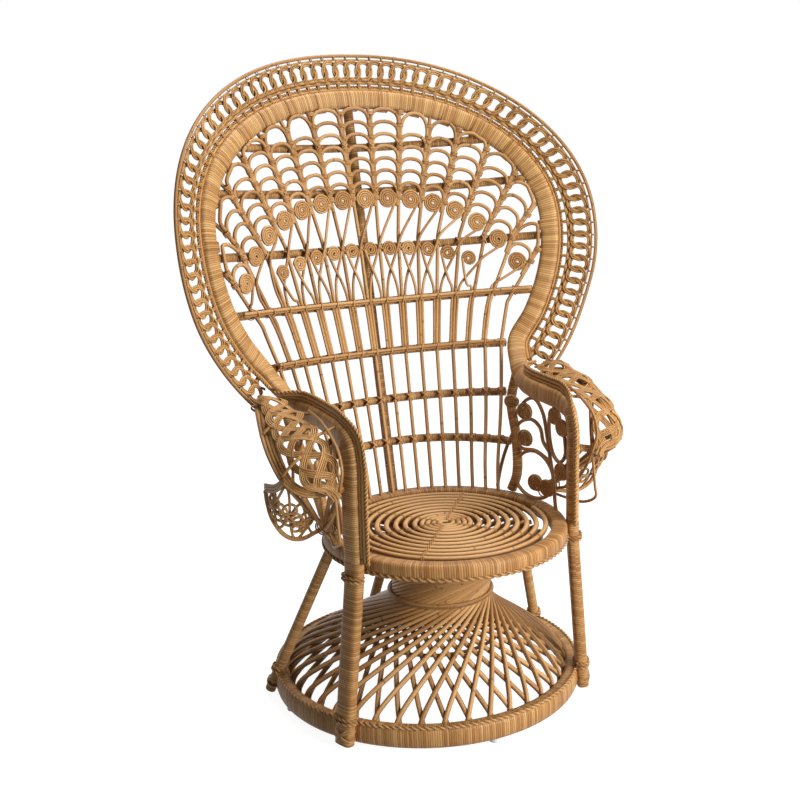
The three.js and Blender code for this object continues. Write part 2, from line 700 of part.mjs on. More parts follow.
// Strand beside the lace, laced to and fro to the hoop on its way there and straight on its way back.
function lacing() {
  const there = borderAngles(LACING_ZIGZAGS * 2);
  const back = borderAngles(STRAND_STEPS).reverse();
  const strandMiddle = LACING_WIDTH + LACING_STRAND / 2;
  const path = there.map((angle, i) => {
    const inset = i % 2 ? LACING_WIDTH - LACING_STRAND / 2 - CLEARANCE : LACING_STRAND / 2 - CLEARANCE;
    return borderAt(angle, inset, null, 0);
  });
  path.push(...back.map((angle) => borderAt(angle, strandMiddle, null, 0)));
  return sweep(path, round(LACING_STRAND, 3), [...there, ...back].map(borderFacing));
}

function buildBorder() {
  const edge = borderRun(borderAngles(EDGE_STEPS), null, 0, EDGE_STRAND_WIDTH, EDGE_STRAND_DEPTH);
  add('border_edge', edge, LACE);
  add('border_strand', lacing(), LACE);
  const offset = (LACE_STRAND + CLEARANCE) / 2;
  add('border_lace_front', laceWave(offset, 0), LACE);
  add('border_lace_back', laceWave(-offset, 2), LACE);
}

// Feather screen: arc length from one stem to the next, at a height.
function stemPitch(z) {
  const stations = [
    [SEAT_TOP, STEM_PITCH_SEAT],
    [BAR_HEIGHTS[4], STEM_PITCH_WAIST],
    [BAR_HEIGHTS[2], STEM_PITCH_CROWN],
    [HOOP_TOP, STEM_PITCH_TOP],
  ];
  const k = stations.findIndex((_, i) => i === stations.length - 2 || z < stations[i + 1][0]);
  const [[z0, p0], [z1, p1]] = [stations[k], stations[k + 1]];
  return p0 + ((p1 - p0) * (z - z0)) / (z1 - z0);
}

// Arc length of a stem from the middle. The outer stems flare out to the hoop above the fourth bar.
function stemArc(place, z) {
  const outer = Math.max(Math.abs(place) - STEM_FLARE_PLACE, 0);
  const flare = STEM_FLARE * outer * outer * Math.max(z - STEM_FLARE_HEIGHT, 0);
  return place * stemPitch(z) + Math.sign(place) * flare;
}

// Highest point of a stem, where it meets the hoop.
function stemTop(place) {
  let z = HOOP_TOP;
  while (Math.abs(stemArc(place, z)) > barReach(z) && z > BAR_HEIGHTS[3]) {
    z -= 2;
  }
  return z;
}

// Heights of a stem's bends: on the seat, over each bar and at the hoop.
function stemHeights(place) {
  const top = stemTop(place);
  const heights = BAR_HEIGHTS.map((_, k) => barHeight(k, stemArc(place, BAR_HEIGHTS[k])));
  const inside = heights.filter((z) => z < top - BAND_WIDTH).reverse();
  return [SEAT_TOP - RIM_HEIGHT / 4, ...inside, top];
}

function arcFacing(arc, z) {
  return arcPoint(arc, z, 1).sub(arcPoint(arc, z, 0));
}

function stem(place) {
  const heights = stemHeights(place);
  const path = heights.map((z, i) => {
    const lift = i < heights.length - 1 ? SCREEN_LIFT : SCREEN_LIFT * STEM_TUCK;
    return arcPoint(stemArc(place, z), z, lift);
  });
  return sweep(path, round(STEM, 4), heights.map((z) => arcFacing(stemArc(place, z), z)));
}

function scroll(arc, z, diameter) {
  const disc = new THREE.CylinderGeometry(diameter / 2, diameter / 2, SCROLL_THICKNESS, 8);
  const spot = arcPoint(arc, z, SCREEN_LIFT);
  const facing = arcPoint(arc, z, SCREEN_LIFT + 1).sub(spot).normalize();
  disc.applyQuaternion(new THREE.Quaternion().setFromUnitVectors(point(0, 1, 0), facing));
  disc.translate(spot.x, spot.y, spot.z);
  return tidy(disc);
}

// Height of the scroll in a column between stems. Both rows fall away towards the sides.
function largeHeight(column) {
  return LARGE_SCROLL_HEIGHT - LARGE_SCROLL_DROP * (Math.abs(column) / LARGE_SCROLL_COLUMNS) ** SCROLL_FALL;
}

function smallHeight(column) {
  return SMALL_SCROLL_HEIGHT - SMALL_SCROLL_DROP * (Math.abs(column) / SMALL_SCROLL_COLUMNS) ** SCROLL_FALL;
}

// Arch from a stem towards its neighbour on one side, ending short of it.
function arch(place, z, side) {
  const start = stemArc(place, z) + side * (STEM / 2 + 1);
  const end = stemArc(place + side, z) - side * (STEM / 2 + CLEARANCE + (ARCH_STRAND / 2) * CORNER_REACH);
  const path = ARCH_SHARES.map((share) => {
    const rise = ARCH_RISE * Math.sin(Math.PI * share) ** ARCH_FULLNESS;
    return arcPoint(start + (end - start) * share, z + rise, SCREEN_LIFT);
  });
  const away = ARCH_SHARES.map((share) => arcFacing(start + (end - start) * share, z).negate());
  return sweep(path, round(ARCH_STRAND, 3), away);
}

// Scroll beside a stem, on the side that the column lies.
function stemScroll(place, way, height, diameter) {
  return scroll(stemArc(place, height) + way * (STEM / 2 + diameter / 2 - SCROLL_BITE), height, diameter);
}

function feather(place, ways) {
  const pieces = [stem(place)];
  for (const way of ways) {
    const column = Math.abs(place + way / 2);
    if (column <= LARGE_SCROLL_COLUMNS) {
      pieces.push(stemScroll(place, way, largeHeight(column), LARGE_SCROLL));
    }
    if (column <= SMALL_SCROLL_COLUMNS) {
      pieces.push(stemScroll(place, way, smallHeight(column), SMALL_SCROLL));
    }
    for (let z = largeHeight(column) + ARCH_GAP; z + ARCH_RISE < HOOP_TOP; z += ARCH_STEP) {
      if (Math.abs(stemArc(place + way, z)) < barReach(z + ARCH_RISE) - BAND_WIDTH / 2) {
        pieces.push(arch(place, z, way));
      }
    }
  }
  return join(pieces);
}

function buildFeathers() {
  const bars = BAR_HEIGHTS.map((_, k) => backBar(k, CLEARANCE));
  const cutters = [hoopBand(CLEARANCE), seatRim(CLEARANCE), ...bars];
  for (let k = 0; k < STEM_COUNT; k++) {
    const place = k - (STEM_COUNT - 1) / 2;
    const side = Math.sign(place);
    const ways = k === STEM_COUNT / 2 ? [side, -side] : [side];
    add(`feather_${k + 1}`, cut(feather(place, ways), cutters), RATTAN);
  }
}

// Arms: a place on the panel, as a share of the way from front post to neck post and from seat to band.
function panelPoint(side, along, up) {
  const z = SEAT_TOP + (ARM_HEIGHT - BAND_WIDTH / 2 - SEAT_TOP) * up;
  const share = (z - RIM_MIDDLE) / (NECK_HEIGHT - RIM_MIDDLE);
  const neck = backPoint(NECK_POST_FOOT + (NECK_HALF_WIDTH - NECK_POST_FOOT) * share, z);
  const post = hoopLine().spots[0].setZ(z);
  return sided(post.lerp(neck, along), side);
}

// Strands of the arm panel, each starting or ending on a point of another.
const PANEL_ARCH = [
  [1, 0.72], [0.92, 0.88], [0.72, 0.93], [0.48, 0.74], [0.38, 0.57], [0.3, 0.31], [0.24, 0],
];
const PANEL_LYRE = [[0.4, 1.02], [0.36, 0.76], [0.38, 0.57]];
const PANEL_HUMP = [[1, 0.46], [0.87, 0.66], [0.7, 0.74], [0.52, 0.64], [0.38, 0.57]];
const PANEL_TIE = [[0.82, 0.47], [0.64, 0.45], [0.46, 0.41], [0.3, 0.31]];
const PANEL_LOOP = [[0.46, 0.41], [0.46, 0.2], [0.56, 0.04], [0.72, 0.03], [0.84, 0.22], [0.82, 0.47]];
// Scrolls of the arm panel: the point of a strand that each curls from, and its middle from there.
const PANEL_SCROLLS = [
  [[0.92, 0.88], [-16, -9]],
  [[0.36, 0.76], [-15, 9]],
  [[0.36, 0.76], [-13, -13]],
  [[0.82, 0.47], [3, 17]],
  [[0.72, 0.03], [-4, 17]],
  [[0.56, 0.04], [-8, 16]],
  [[0.3, 0.31], [-16, 8]],
];

function panelScroll(side, [along, up], [back, rise]) {
  const disc = new THREE.CylinderGeometry(PANEL_SCROLL / 2, PANEL_SCROLL / 2, SCROLL_THICKNESS, 8);
  disc.rotateZ(Math.PI / 2);
  const spot = panelPoint(side, along, up);
  disc.translate(spot.x, spot.y + back, spot.z + rise);
  return tidy(disc);
}

function armPanel(side) {
  const place = ([along, up]) => panelPoint(side, along, up);
  const strands = [PANEL_ARCH, PANEL_LYRE, PANEL_HUMP, PANEL_TIE, PANEL_LOOP].map((run) => {
    return tube(run.map(place), PANEL_STRAND, 3);
  });
  return join([...strands, ...PANEL_SCROLLS.map(([root, shift]) => panelScroll(side, root, shift))]);
}

// Height of the roll where it turns in at the front.
const ROLL_FRONT_HEIGHT = ARM_HEIGHT - ROLL_DROP;

// Roll rim: from the end of the border, over the outside of the arm and in to the front post.
function rollPath(side) {
  const end = borderAt(EDGE_END_ANGLE, null, 0, 0);
  const post = hoopLine().spots[0];
  const points = [
    point(end.x + ROLL_STRAND / 2, end.y - ROLL_STRAND, end.z),
    point(ROLL_REACH - ROLL_TUCK, (end.y + post.y) / 2, ARM_HEIGHT - ROLL_TUCK / 2),
    point(ROLL_REACH, post.y + ARM_CORNER, ROLL_FRONT_HEIGHT + ROLL_SHOULDER),
    point(ROLL_REACH - ROLL_TUCK, post.y, ROLL_FRONT_HEIGHT),
    point((ROLL_REACH + post.x) / 2, post.y + ROLL_TUCK, ROLL_FRONT_HEIGHT - ROLL_SAG),
    point(post.x, post.y, ROLL_FRONT_HEIGHT - ROLL_SAG / 2),
  ];
  return smooth(points, ROLL_STEPS).map((spot) => sided(spot, side));
}

// Lace of the roll: one strand laced to and fro between band and rim over the swell of the roll.
function rollLace(side) {
  const rim = rollPath(side);
  const band = hoopLine().spots.slice(1, 8).reverse().map((spot) => sided(spot, side));
  const upper = new THREE.CatmullRomCurve3(band, false, 'centripetal');
  const lower = new THREE.CatmullRomCurve3(rim, false, 'centripetal');
  const path = [];
  for (let k = 0; k <= ROLL_LACINGS; k++) {
    for (const out of k % 2 ? LACE_REACHES.toReversed() : LACE_REACHES) {
      const along = (k + out * (k % 2 ? -0.5 : 0.5) + 0.5) / (ROLL_LACINGS + 1);
      const spot = upper.getPoint(along).lerp(lower.getPoint(along * ROLL_SHARE), out);
      const swell = ROLL_SWELL * Math.sin(Math.PI * out);
      path.push(spot.add(point(side * swell, -swell * along, swell * (1 - along))));
    }
  }
  return tube(path, ROLL_RIB, 4);
}

// Wing: a leaf of strands below the roll, with the strands that draw the roll in to the seat.
function armWing(side) {
  const root = polar(RIM_OUTSIDE + WING_STRAND / 2 + CLEARANCE, WING_ROOT_ANGLE, RIM_MIDDLE);
  const tip = point(ROLL_REACH - ROLL_TUCK, WING_TIP_BACK, ROLL_FRONT_HEIGHT - ROLL_SAG);
  const bowed = (share, rise) => root.clone().lerp(tip, share).add(point(0, -WING_BOW, rise));
  const place = (spot) => sided(spot, side);
  const belly = [root, bowed(0.45, -WING_BELLY), bowed(0.9, -WING_BELLY), tip];
  const brow = [root, bowed(0.36, WING_BROW), bowed(0.74, WING_BROW), tip];
  const bellyRun = smooth(belly, WING_STEPS).map(place);
  const browRun = smooth(brow, WING_STEPS).map(place);
  const pieces = [tube(bellyRun, WING_STRAND, 3), tube(browRun, WING_STRAND, 3)];
  for (let k = 1; k <= WING_RIBS; k++) {
    const step = k + 1;
    pieces.push(tube([bellyRun[step], browRun[step]], WING_RIB, 3));
  }
  const rim = rollPath(side);
  for (const step of WING_TIES) {
    const head = place(root).lerp(rim[step], WING_REACH);
    pieces.push(tube([place(root), head], WING_STRAND, 3));
  }
  return join(pieces);
}

function buildArms() {
  const band = hoopBand(CLEARANCE);
  const rim = seatRim(CLEARANCE);
  for (const [side, name] of [[1, 'right'], [-1, 'left']]) {
    const post = neckPost(side, CLEARANCE);
    add(`arm_panel_${name}`, cut(armPanel(side), [band, rim, post]), RATTAN);
    const roll = cut(tube(rollPath(side), ROLL_STRAND, 6), [band]);
    add(`arm_roll_rim_${name}`, roll, LACE);
    const grownRoll = tube(rollPath(side), ROLL_STRAND + 2 * CLEARANCE, 6);
    add(`arm_roll_lace_${name}`, cut(rollLace(side), [band, grownRoll]), LACE);
    add(`arm_wing_${name}`, cut(armWing(side), [band, rim, grownRoll]), LACE);
  }
}

buildBase();
buildSeat();
buildLegs();
buildSkirt();
buildBack();
buildBorder();
buildFeathers();
buildArms();

// The origin goes to the floor below the middle of the chair.
const middle = new THREE.Box3().setFromObject(chair).getCenter(point());
chair.position.set(-middle.x, -middle.y, 0);

export default chair;
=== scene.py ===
"""Rattan peacock chair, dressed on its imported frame.

Every length is in metres, +Z is up and the chair faces -Y. Shapes are laid out about the middle of
the seat and are moved to the frame's own origin when a mesh is made.
"""

from __future__ import annotations

import json
import logging
import math
from dataclasses import dataclass, field
from enum import Enum

import bpy
import numpy as np
from mathutils import Matrix, Vector

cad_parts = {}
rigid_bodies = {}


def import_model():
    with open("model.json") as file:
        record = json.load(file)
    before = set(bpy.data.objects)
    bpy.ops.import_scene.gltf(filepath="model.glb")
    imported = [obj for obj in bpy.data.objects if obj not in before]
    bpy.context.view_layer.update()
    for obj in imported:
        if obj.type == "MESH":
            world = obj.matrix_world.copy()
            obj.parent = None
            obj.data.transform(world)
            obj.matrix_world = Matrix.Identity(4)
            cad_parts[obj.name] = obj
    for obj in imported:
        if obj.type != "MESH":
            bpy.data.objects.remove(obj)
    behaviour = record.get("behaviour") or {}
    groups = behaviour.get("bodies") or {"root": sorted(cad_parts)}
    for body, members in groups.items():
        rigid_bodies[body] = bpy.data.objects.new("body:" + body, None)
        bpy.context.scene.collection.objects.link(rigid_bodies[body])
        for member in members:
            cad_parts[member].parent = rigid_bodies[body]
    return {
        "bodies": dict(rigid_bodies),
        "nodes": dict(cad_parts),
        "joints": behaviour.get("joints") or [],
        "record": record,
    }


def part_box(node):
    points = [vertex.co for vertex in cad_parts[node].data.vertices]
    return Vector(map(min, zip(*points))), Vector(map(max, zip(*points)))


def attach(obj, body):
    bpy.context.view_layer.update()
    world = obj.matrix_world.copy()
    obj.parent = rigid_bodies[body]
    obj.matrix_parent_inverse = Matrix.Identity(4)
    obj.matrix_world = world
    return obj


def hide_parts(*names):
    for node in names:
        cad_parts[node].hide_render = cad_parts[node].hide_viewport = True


log = logging.getLogger("peacock_chair")

BODY = "root"
UP = np.array([0.0, 0.0, 1.0])
TURN = 2.0 * math.pi
SIDES = {"right": 1.0, "left": -1.0}

# Distances between the rows of thin, middling and thick strands.
FINE_STEP = 0.004
CANE_STEP = 0.006
POLE_STEP = 0.01

# Step of slopes and searches, and the rows between two points of a curve before it is spaced evenly.
PROBE = 0.001
CURVE_ROWS = 24


def unit(vectors: np.ndarray) -> np.ndarray:
    """Scales vectors to length one.

    Args:
        vectors: Array whose last axis holds x, y and z.

    Returns:
        Array of the same shape.
    """
    return vectors / np.maximum(np.linalg.norm(vectors, axis=-1, keepdims=True), 1e-12)


def lengths(path: np.ndarray) -> np.ndarray:
    """Gives the length along a path at each of its rows."""
    steps = np.linalg.norm(np.diff(path[:, :3], axis=0), axis=1)
    return np.concatenate([[0.0], np.cumsum(steps)])


def sample(rows: np.ndarray, marks: np.ndarray, wanted: np.ndarray) -> np.ndarray:
    """Reads rows between their marks.

    Args:
        rows: Rows of any columns.
        marks: Rising mark of each row.
        wanted: Marks to read at.

    Returns:
        One row for each wanted mark.
    """
    return np.stack([np.interp(wanted, marks, column) for column in rows.T], axis=-1)


def bulge(values: np.ndarray, power: float) -> np.ndarray:
    """Raises values to a power and keeps their signs."""
    return np.sign(values) * np.abs(values) ** power


def even(path: np.ndarray, step: float) -> np.ndarray:
    """Spaces the rows of a path evenly along it.

    Args:
        path: Rows of x, y, z and any further columns that go with them.
        step: Wanted distance between rows.

    Returns:
        New rows with the same columns, the first and the last as they were.
    """
    marks = lengths(path)
    count = max(int(round(marks[-1] / step)), 2)
    return sample(path, marks, np.linspace(0.0, marks[-1], count + 1))


def curve(points: np.ndarray | list | tuple, step: float) -> np.ndarray:
    """Draws a smooth line through points.

    Args:
        points: Rows of x, y, z and any further columns.
        step: Distance between the rows of the result.

    Returns:
        Evenly spaced rows.
    """
    spots = np.asarray(points, dtype=float)
    ends = np.vstack([2 * spots[0] - spots[1], spots, 2 * spots[-1] - spots[-2]])
    gaps = np.sqrt(np.maximum(np.linalg.norm(np.diff(ends[:, :3], axis=0), axis=1), 1e-9))
    knots = np.concatenate([[0.0], np.cumsum(gaps)])
    rows = []
    for i in range(1, len(ends) - 2):
        t0, t1, t2, t3 = knots[i - 1:i + 3]
        t = np.linspace(t1, t2, CURVE_ROWS, endpoint=False)[:, None]
        a1 = ((t1 - t) * ends[i - 1] + (t - t0) * ends[i]) / (t1 - t0)
        a2 = ((t2 - t) * ends[i] + (t - t1) * ends[i + 1]) / (t2 - t1)
        a3 = ((t3 - t) * ends[i + 1] + (t - t2) * ends[i + 2]) / (t3 - t2)
        b1 = ((t2 - t) * a1 + (t - t0) * a2) / (t2 - t0)
        b2 = ((t3 - t) * a2 + (t - t1) * a3) / (t3 - t1)
        rows.append(((t2 - t) * b1 + (t - t1) * b2) / (t2 - t1))
    rows.append(ends[-2:-1])
    return even(np.vstack(rows), step)


def circle(radius: float, height: float, backset: float, step: float) -> np.ndarray:
    """Lays a level circle, its first row repeated at its end.

    Args:
        radius: Radius of the circle.
        height: Its z.
        backset: The y of its middle.
        step: Distance between rows.

    Returns:
        Rows of x, y and z.
    """
    count = max(int(round(TURN * radius / step)), 8)
    angles = np.linspace(0.0, TURN, count + 1)
    spots = [radius * np.cos(angles), backset + radius * np.sin(angles), np.full(count + 1, height)]
    return np.stack(spots, axis=1)


def polar(radius: float, degrees: float, height: float, backset: float = 0.0) -> np.ndarray:
    """Gives the point at an angle on a level circle.

    Args:
        radius: Radius of the circle.
        degrees: Angle from +X towards +Y.
        height: The z of the point.
        backset: The y of the circle's middle.

    Returns:
        The point.
    """
    angle = math.radians(degrees)
    return np.array([radius * math.cos(angle), backset + radius * math.sin(angle), height])


def sided(path: np.ndarray | list, side: float) -> np.ndarray:
    """Mirrors points of the right arm for the left one.

    Args:
        path: Points of the right side.
        side: 1 for right and -1 for left.

    Returns:
        The points of that side.
    """
    spots = np.array(path, dtype=float)
    spots[..., 0] *= side
    return spots


def tangents(path: np.ndarray, closed: bool) -> np.ndarray:
    """Gives the direction of a path at each row.

    Args:
        path: Rows of x, y and z.
        closed: Whether the last row repeats the first.

    Returns:
        Unit vectors.
    """
    ahead = np.vstack([path[1:], path[1:2] if closed else path[-1:]])
    behind = np.vstack([path[-2:-1] if closed else path[:1], path[:-1]])
    return unit(ahead - behind)


def carried(along: np.ndarray) -> np.ndarray:
    """Carries a direction along a path without twist.

    Args:
        along: Unit tangents of the path.

    Returns:
        One unit vector per row, square to the tangent.
    """
    start = UP if abs(along[0][2]) < 0.9 else np.array([0.0, -1.0, 0.0])
    rows = []
    for tangent in along:
        start = start - tangent * np.dot(start, tangent)
        start = start / max(np.linalg.norm(start), 1e-9)
        rows.append(start)
    return np.array(rows)


def added(name: str, data: bpy.types.ID) -> bpy.types.Object:
    """Makes an object of a mesh, lamp or camera and puts it in the scene.

    Args:
        name: Name of the object.
        data: Its mesh, lamp or camera.

    Returns:
        The object.
    """
    made = bpy.data.objects.new(name, data)
    bpy.context.scene.collection.objects.link(made)
    return made


@dataclass(frozen=True)
class Wrap:
    """How split cane is wound on a pole, and how its turns crowd together and part."""

    pitch: float = 0.0047
    relief: float = 0.0007
    rows: int = 4
    wander: float = 0.6
    wander_rate: float = 41.0
    wander_start: float = 7.0


class Finish(Enum):
    """Finishes of the record, by slot name."""

    WRAPPED = "wrapped_cane"
    RATTAN = "bare_rattan"
    LACE = "lace_cane"
    PLASTIC = "glide_plastic"


@dataclass
class Bundle:
    """Gathers any number of strands in one mesh, with their own length, turn and tint."""

    name: str
    finish: Finish
    tone: tuple = (0.0, 1.0)
    spots: list = field(default_factory=list)
    faces: dict = field(default_factory=lambda: {3: [], 4: []})
    charts: dict = field(default_factory=lambda: {3: [], 4: []})
    tints: list = field(default_factory=list)
    count: int = 0
    chart_shift: float = 10.0
    twist_apart: float = 0.24
    twist_cane: float = 0.54
    twist_rows: int = 8
    loop_rows: int = 17

    def __post_init__(self) -> None:
        """Seeds the small differences between strands from the bundle's name."""
        self.chance = np.random.default_rng(sum(ord(letter) for letter in self.name))

    def strand(self, path: np.ndarray, width: float, depth: float = 0.0,
               facing: np.ndarray | None = None, sides: int = 8, closed: bool = False,
               square: float = 2.0, wrap: Wrap | None = None, taper: float = 1.0) -> None:
        """Sweeps one strand along a path.

        Args:
            path: Rows of x, y and z.
            width: Full size across the facing.
            depth: Full size along the facing, as wide as it is where left out.
            facing: One vector, or one per row, that the depth follows.
            sides: Corners of the section.
            closed: Whether the path ends where it starts.
            square: 2 gives a round section, more gives a squarer one.
            wrap: Winding of split cane, where the strand is a wrapped pole.
            taper: Size of the last row against the first.
        """
        depth = depth or width
        rows = np.asarray(path, dtype=float)
        if facing is not None:
            facing = np.broadcast_to(facing, rows.shape)
        if wrap:
            whole = rows if facing is None else np.hstack([rows, facing])
            whole = even(whole, wrap.pitch / wrap.rows)
            rows, facing = whole[:, :3], (None if facing is None else whole[:, 3:])
        along = tangents(rows, closed)
        facing = carried(along) if facing is None else facing
        across = unit(np.cross(along, facing))
        facing = np.cross(across, along)
        turn = np.arange(sides + 1) / sides
        reach = np.stack([np.cos(TURN * turn), np.sin(TURN * turn)], axis=1)
        reach = bulge(reach, 2.0 / square)
        length = lengths(rows)
        chart_u = np.tile((length + self.chart_shift * self.chance.random())[:, None], (1, sides + 1))
        grown = np.zeros_like(chart_u)
        if wrap:
            phase = wrap.wander_start * self.chance.random()
            wander = wrap.wander * np.sin(length * wrap.wander_rate + phase)
            chart_u = (length / wrap.pitch + wander)[:, None] + turn[None, :]
            bump = np.sqrt(np.maximum(1.0 - (2.0 * (chart_u % 1.0) - 1.0) ** 2, 0.0))
            grown = wrap.relief * (bump - 1.0)
        size = np.linspace(0.5, 0.5 * taper, len(rows))[:, None]
        lateral = (reach[None, :, 0] * (width * size + grown))[..., None]
        normal = (reach[None, :, 1] * (depth * size + grown))[..., None]
        body = rows[:, None, :] + across[:, None, :] * lateral + facing[:, None, :] * normal
        self.grid(body, chart_u, turn, along, closed, min(width, depth) / 2.0)

    def grid(self, body: np.ndarray, chart_u: np.ndarray, turn: np.ndarray, along: np.ndarray,
             closed: bool, dome: float) -> None:
        """Adds a swept grid of corners, its faces and its ends.

        Args:
            body: Corners by row and place round the strand, the first place repeated.
            chart_u: Length coordinate of each corner.
            turn: Share of a turn of each place.
            along: Tangent of each row.
            closed: Whether the last row meets the first.
            dome: How large the ends are, which stand out by a quarter of it.
        """
        count, places = body.shape[0] - (1 if closed else 0), body.shape[1] - 1
        base = self.count
        self.spots.append(body[:count, :places].reshape(-1, 3))
        self.count += count * places
        row = np.arange(body.shape[0] - 1)[:, None]
        place = np.arange(places)[None, :]
        after, beside = (row + 1) % count, (place + 1) % places
        corners = [row * places + place, after * places + place,
                   after * places + beside, row * places + beside]
        self.faces[4].append(base + np.stack(corners, axis=-1).reshape(-1, 4))
        chart_v = np.broadcast_to(turn, chart_u.shape)
        chart = np.stack([chart_u, chart_v], axis=-1)
        quads = np.stack([chart[:-1, :-1], chart[1:, :-1], chart[1:, 1:], chart[:-1, 1:]], axis=2)
        self.charts[4].append(quads.reshape(-1, 2))
        tint = self.chance.uniform(*self.tone)
        self.tints.append(np.full(count * places, tint))
        if closed:
            return
        for index, way in ((0, -1.0), (count - 1, 1.0)):
            tip = body[index, :places].mean(axis=0) + along[index] * way * dome / 4.0
            self.spots.append(tip[None])
            self.tints.append(np.array([tint]))
            rim = base + index * places + np.arange(places)
            pair = [rim, np.roll(rim, -1)] if way > 0 else [np.roll(rim, -1), rim]
            self.faces[3].append(np.stack([*pair[::-1], np.full(places, self.count)], axis=1))
            self.charts[3].append(np.repeat(chart[index, :1], places * 3, axis=0))
            self.count += 1

    def twist(self, path: np.ndarray, diameter: float, facing: np.ndarray | None = None,
              closed: bool = False, lay: float = 3.2) -> None:
        """Lays two strands twisted to a cord.

        Args:
            path: Rows of x, y and z.
            diameter: Diameter over both strands.
            facing: One vector, or one per row, to start the twist from.
            closed: Whether the path ends where it starts.
            lay: Length of a full turn, in diameters.
        """
        length = lengths(path)[-1]
        turns = max(round(length / (lay * diameter)), 1)
        rows = even(np.asarray(path, dtype=float), length / turns / self.twist_rows)
        along = tangents(rows, closed)
        if facing is None and not closed:
            side = carried(along)
        else:
            away = UP if facing is None else facing
            side = unit(np.cross(along, np.broadcast_to(away, rows.shape)))
        other = np.cross(along, side)
        phase = np.linspace(0.0, TURN * turns, len(rows))[:, None]
        for start in (0.0, math.pi):
            away = side * np.cos(phase + start) + other * np.sin(phase + start)
            self.strand(rows + away * diameter * self.twist_apart, diameter * self.twist_cane,
                        facing=away, sides=6, closed=closed)

    def loop(self, middle: np.ndarray, reach: np.ndarray, rise: np.ndarray, width: float,
             depth: float) -> None:
        """Binds a flat cane once round a joint.

        Args:
            middle: Middle of the loop.
            reach: Half axis of the loop, as a vector.
            rise: The other half axis.
            width: Width of the cane.
            depth: Thickness of the cane.
        """
        angles = np.linspace(0.0, TURN, self.loop_rows)[:, None]
        path = middle + reach * np.cos(angles) + rise * np.sin(angles)
        self.strand(path, width, depth, facing=unit(path - middle), sides=6, closed=True)

    def make(self, plan: Plan, *nodes: str) -> None:
        """Turns the strands into one object that rides on the chair.

        Args:
            plan: Plan that holds the materials and the middle of the seat.
            *nodes: CAD nodes that the object stands for.
        """
        spots = np.vstack(self.spots) + plan.middle
        mesh = bpy.data.meshes.new(self.name)
        corners, charts, sizes = [], [], []
        for size in (4, 3):
            if self.faces[size]:
                block = np.vstack(self.faces[size])
                corners.append(block.ravel())
                charts.append(np.vstack(self.charts[size]))
                sizes.append(np.full(len(block), size))
        corners, sizes = np.concatenate(corners), np.concatenate(sizes)
        mesh.vertices.add(len(spots))
        mesh.vertices.foreach_set("co", spots.ravel())
        mesh.loops.add(len(corners))
        mesh.loops.foreach_set("vertex_index", corners.astype(np.int32))
        mesh.polygons.add(len(sizes))
        starts = np.concatenate([[0], np.cumsum(sizes)[:-1]])
        mesh.polygons.foreach_set("loop_start", starts.astype(np.int32))
        mesh.polygons.foreach_set("use_smooth", np.ones(len(sizes), dtype=bool))
        mesh.uv_layers.new(name="strand").data.foreach_set("uv", np.vstack(charts).ravel())
        tint = mesh.attributes.new("tint", "FLOAT", "POINT")
        tint.data.foreach_set("value", np.concatenate(self.tints))
        mesh.update(calc_edges=True)
        mesh.validate()
        mesh.materials.append(plan.materials[self.finish])
        piece = added(self.name, mesh)
        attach(piece, BODY)
        if nodes:
            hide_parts(*nodes)
        log.info("%s: %d faces for %s", self.name, len(sizes), ", ".join(nodes) or "no node")


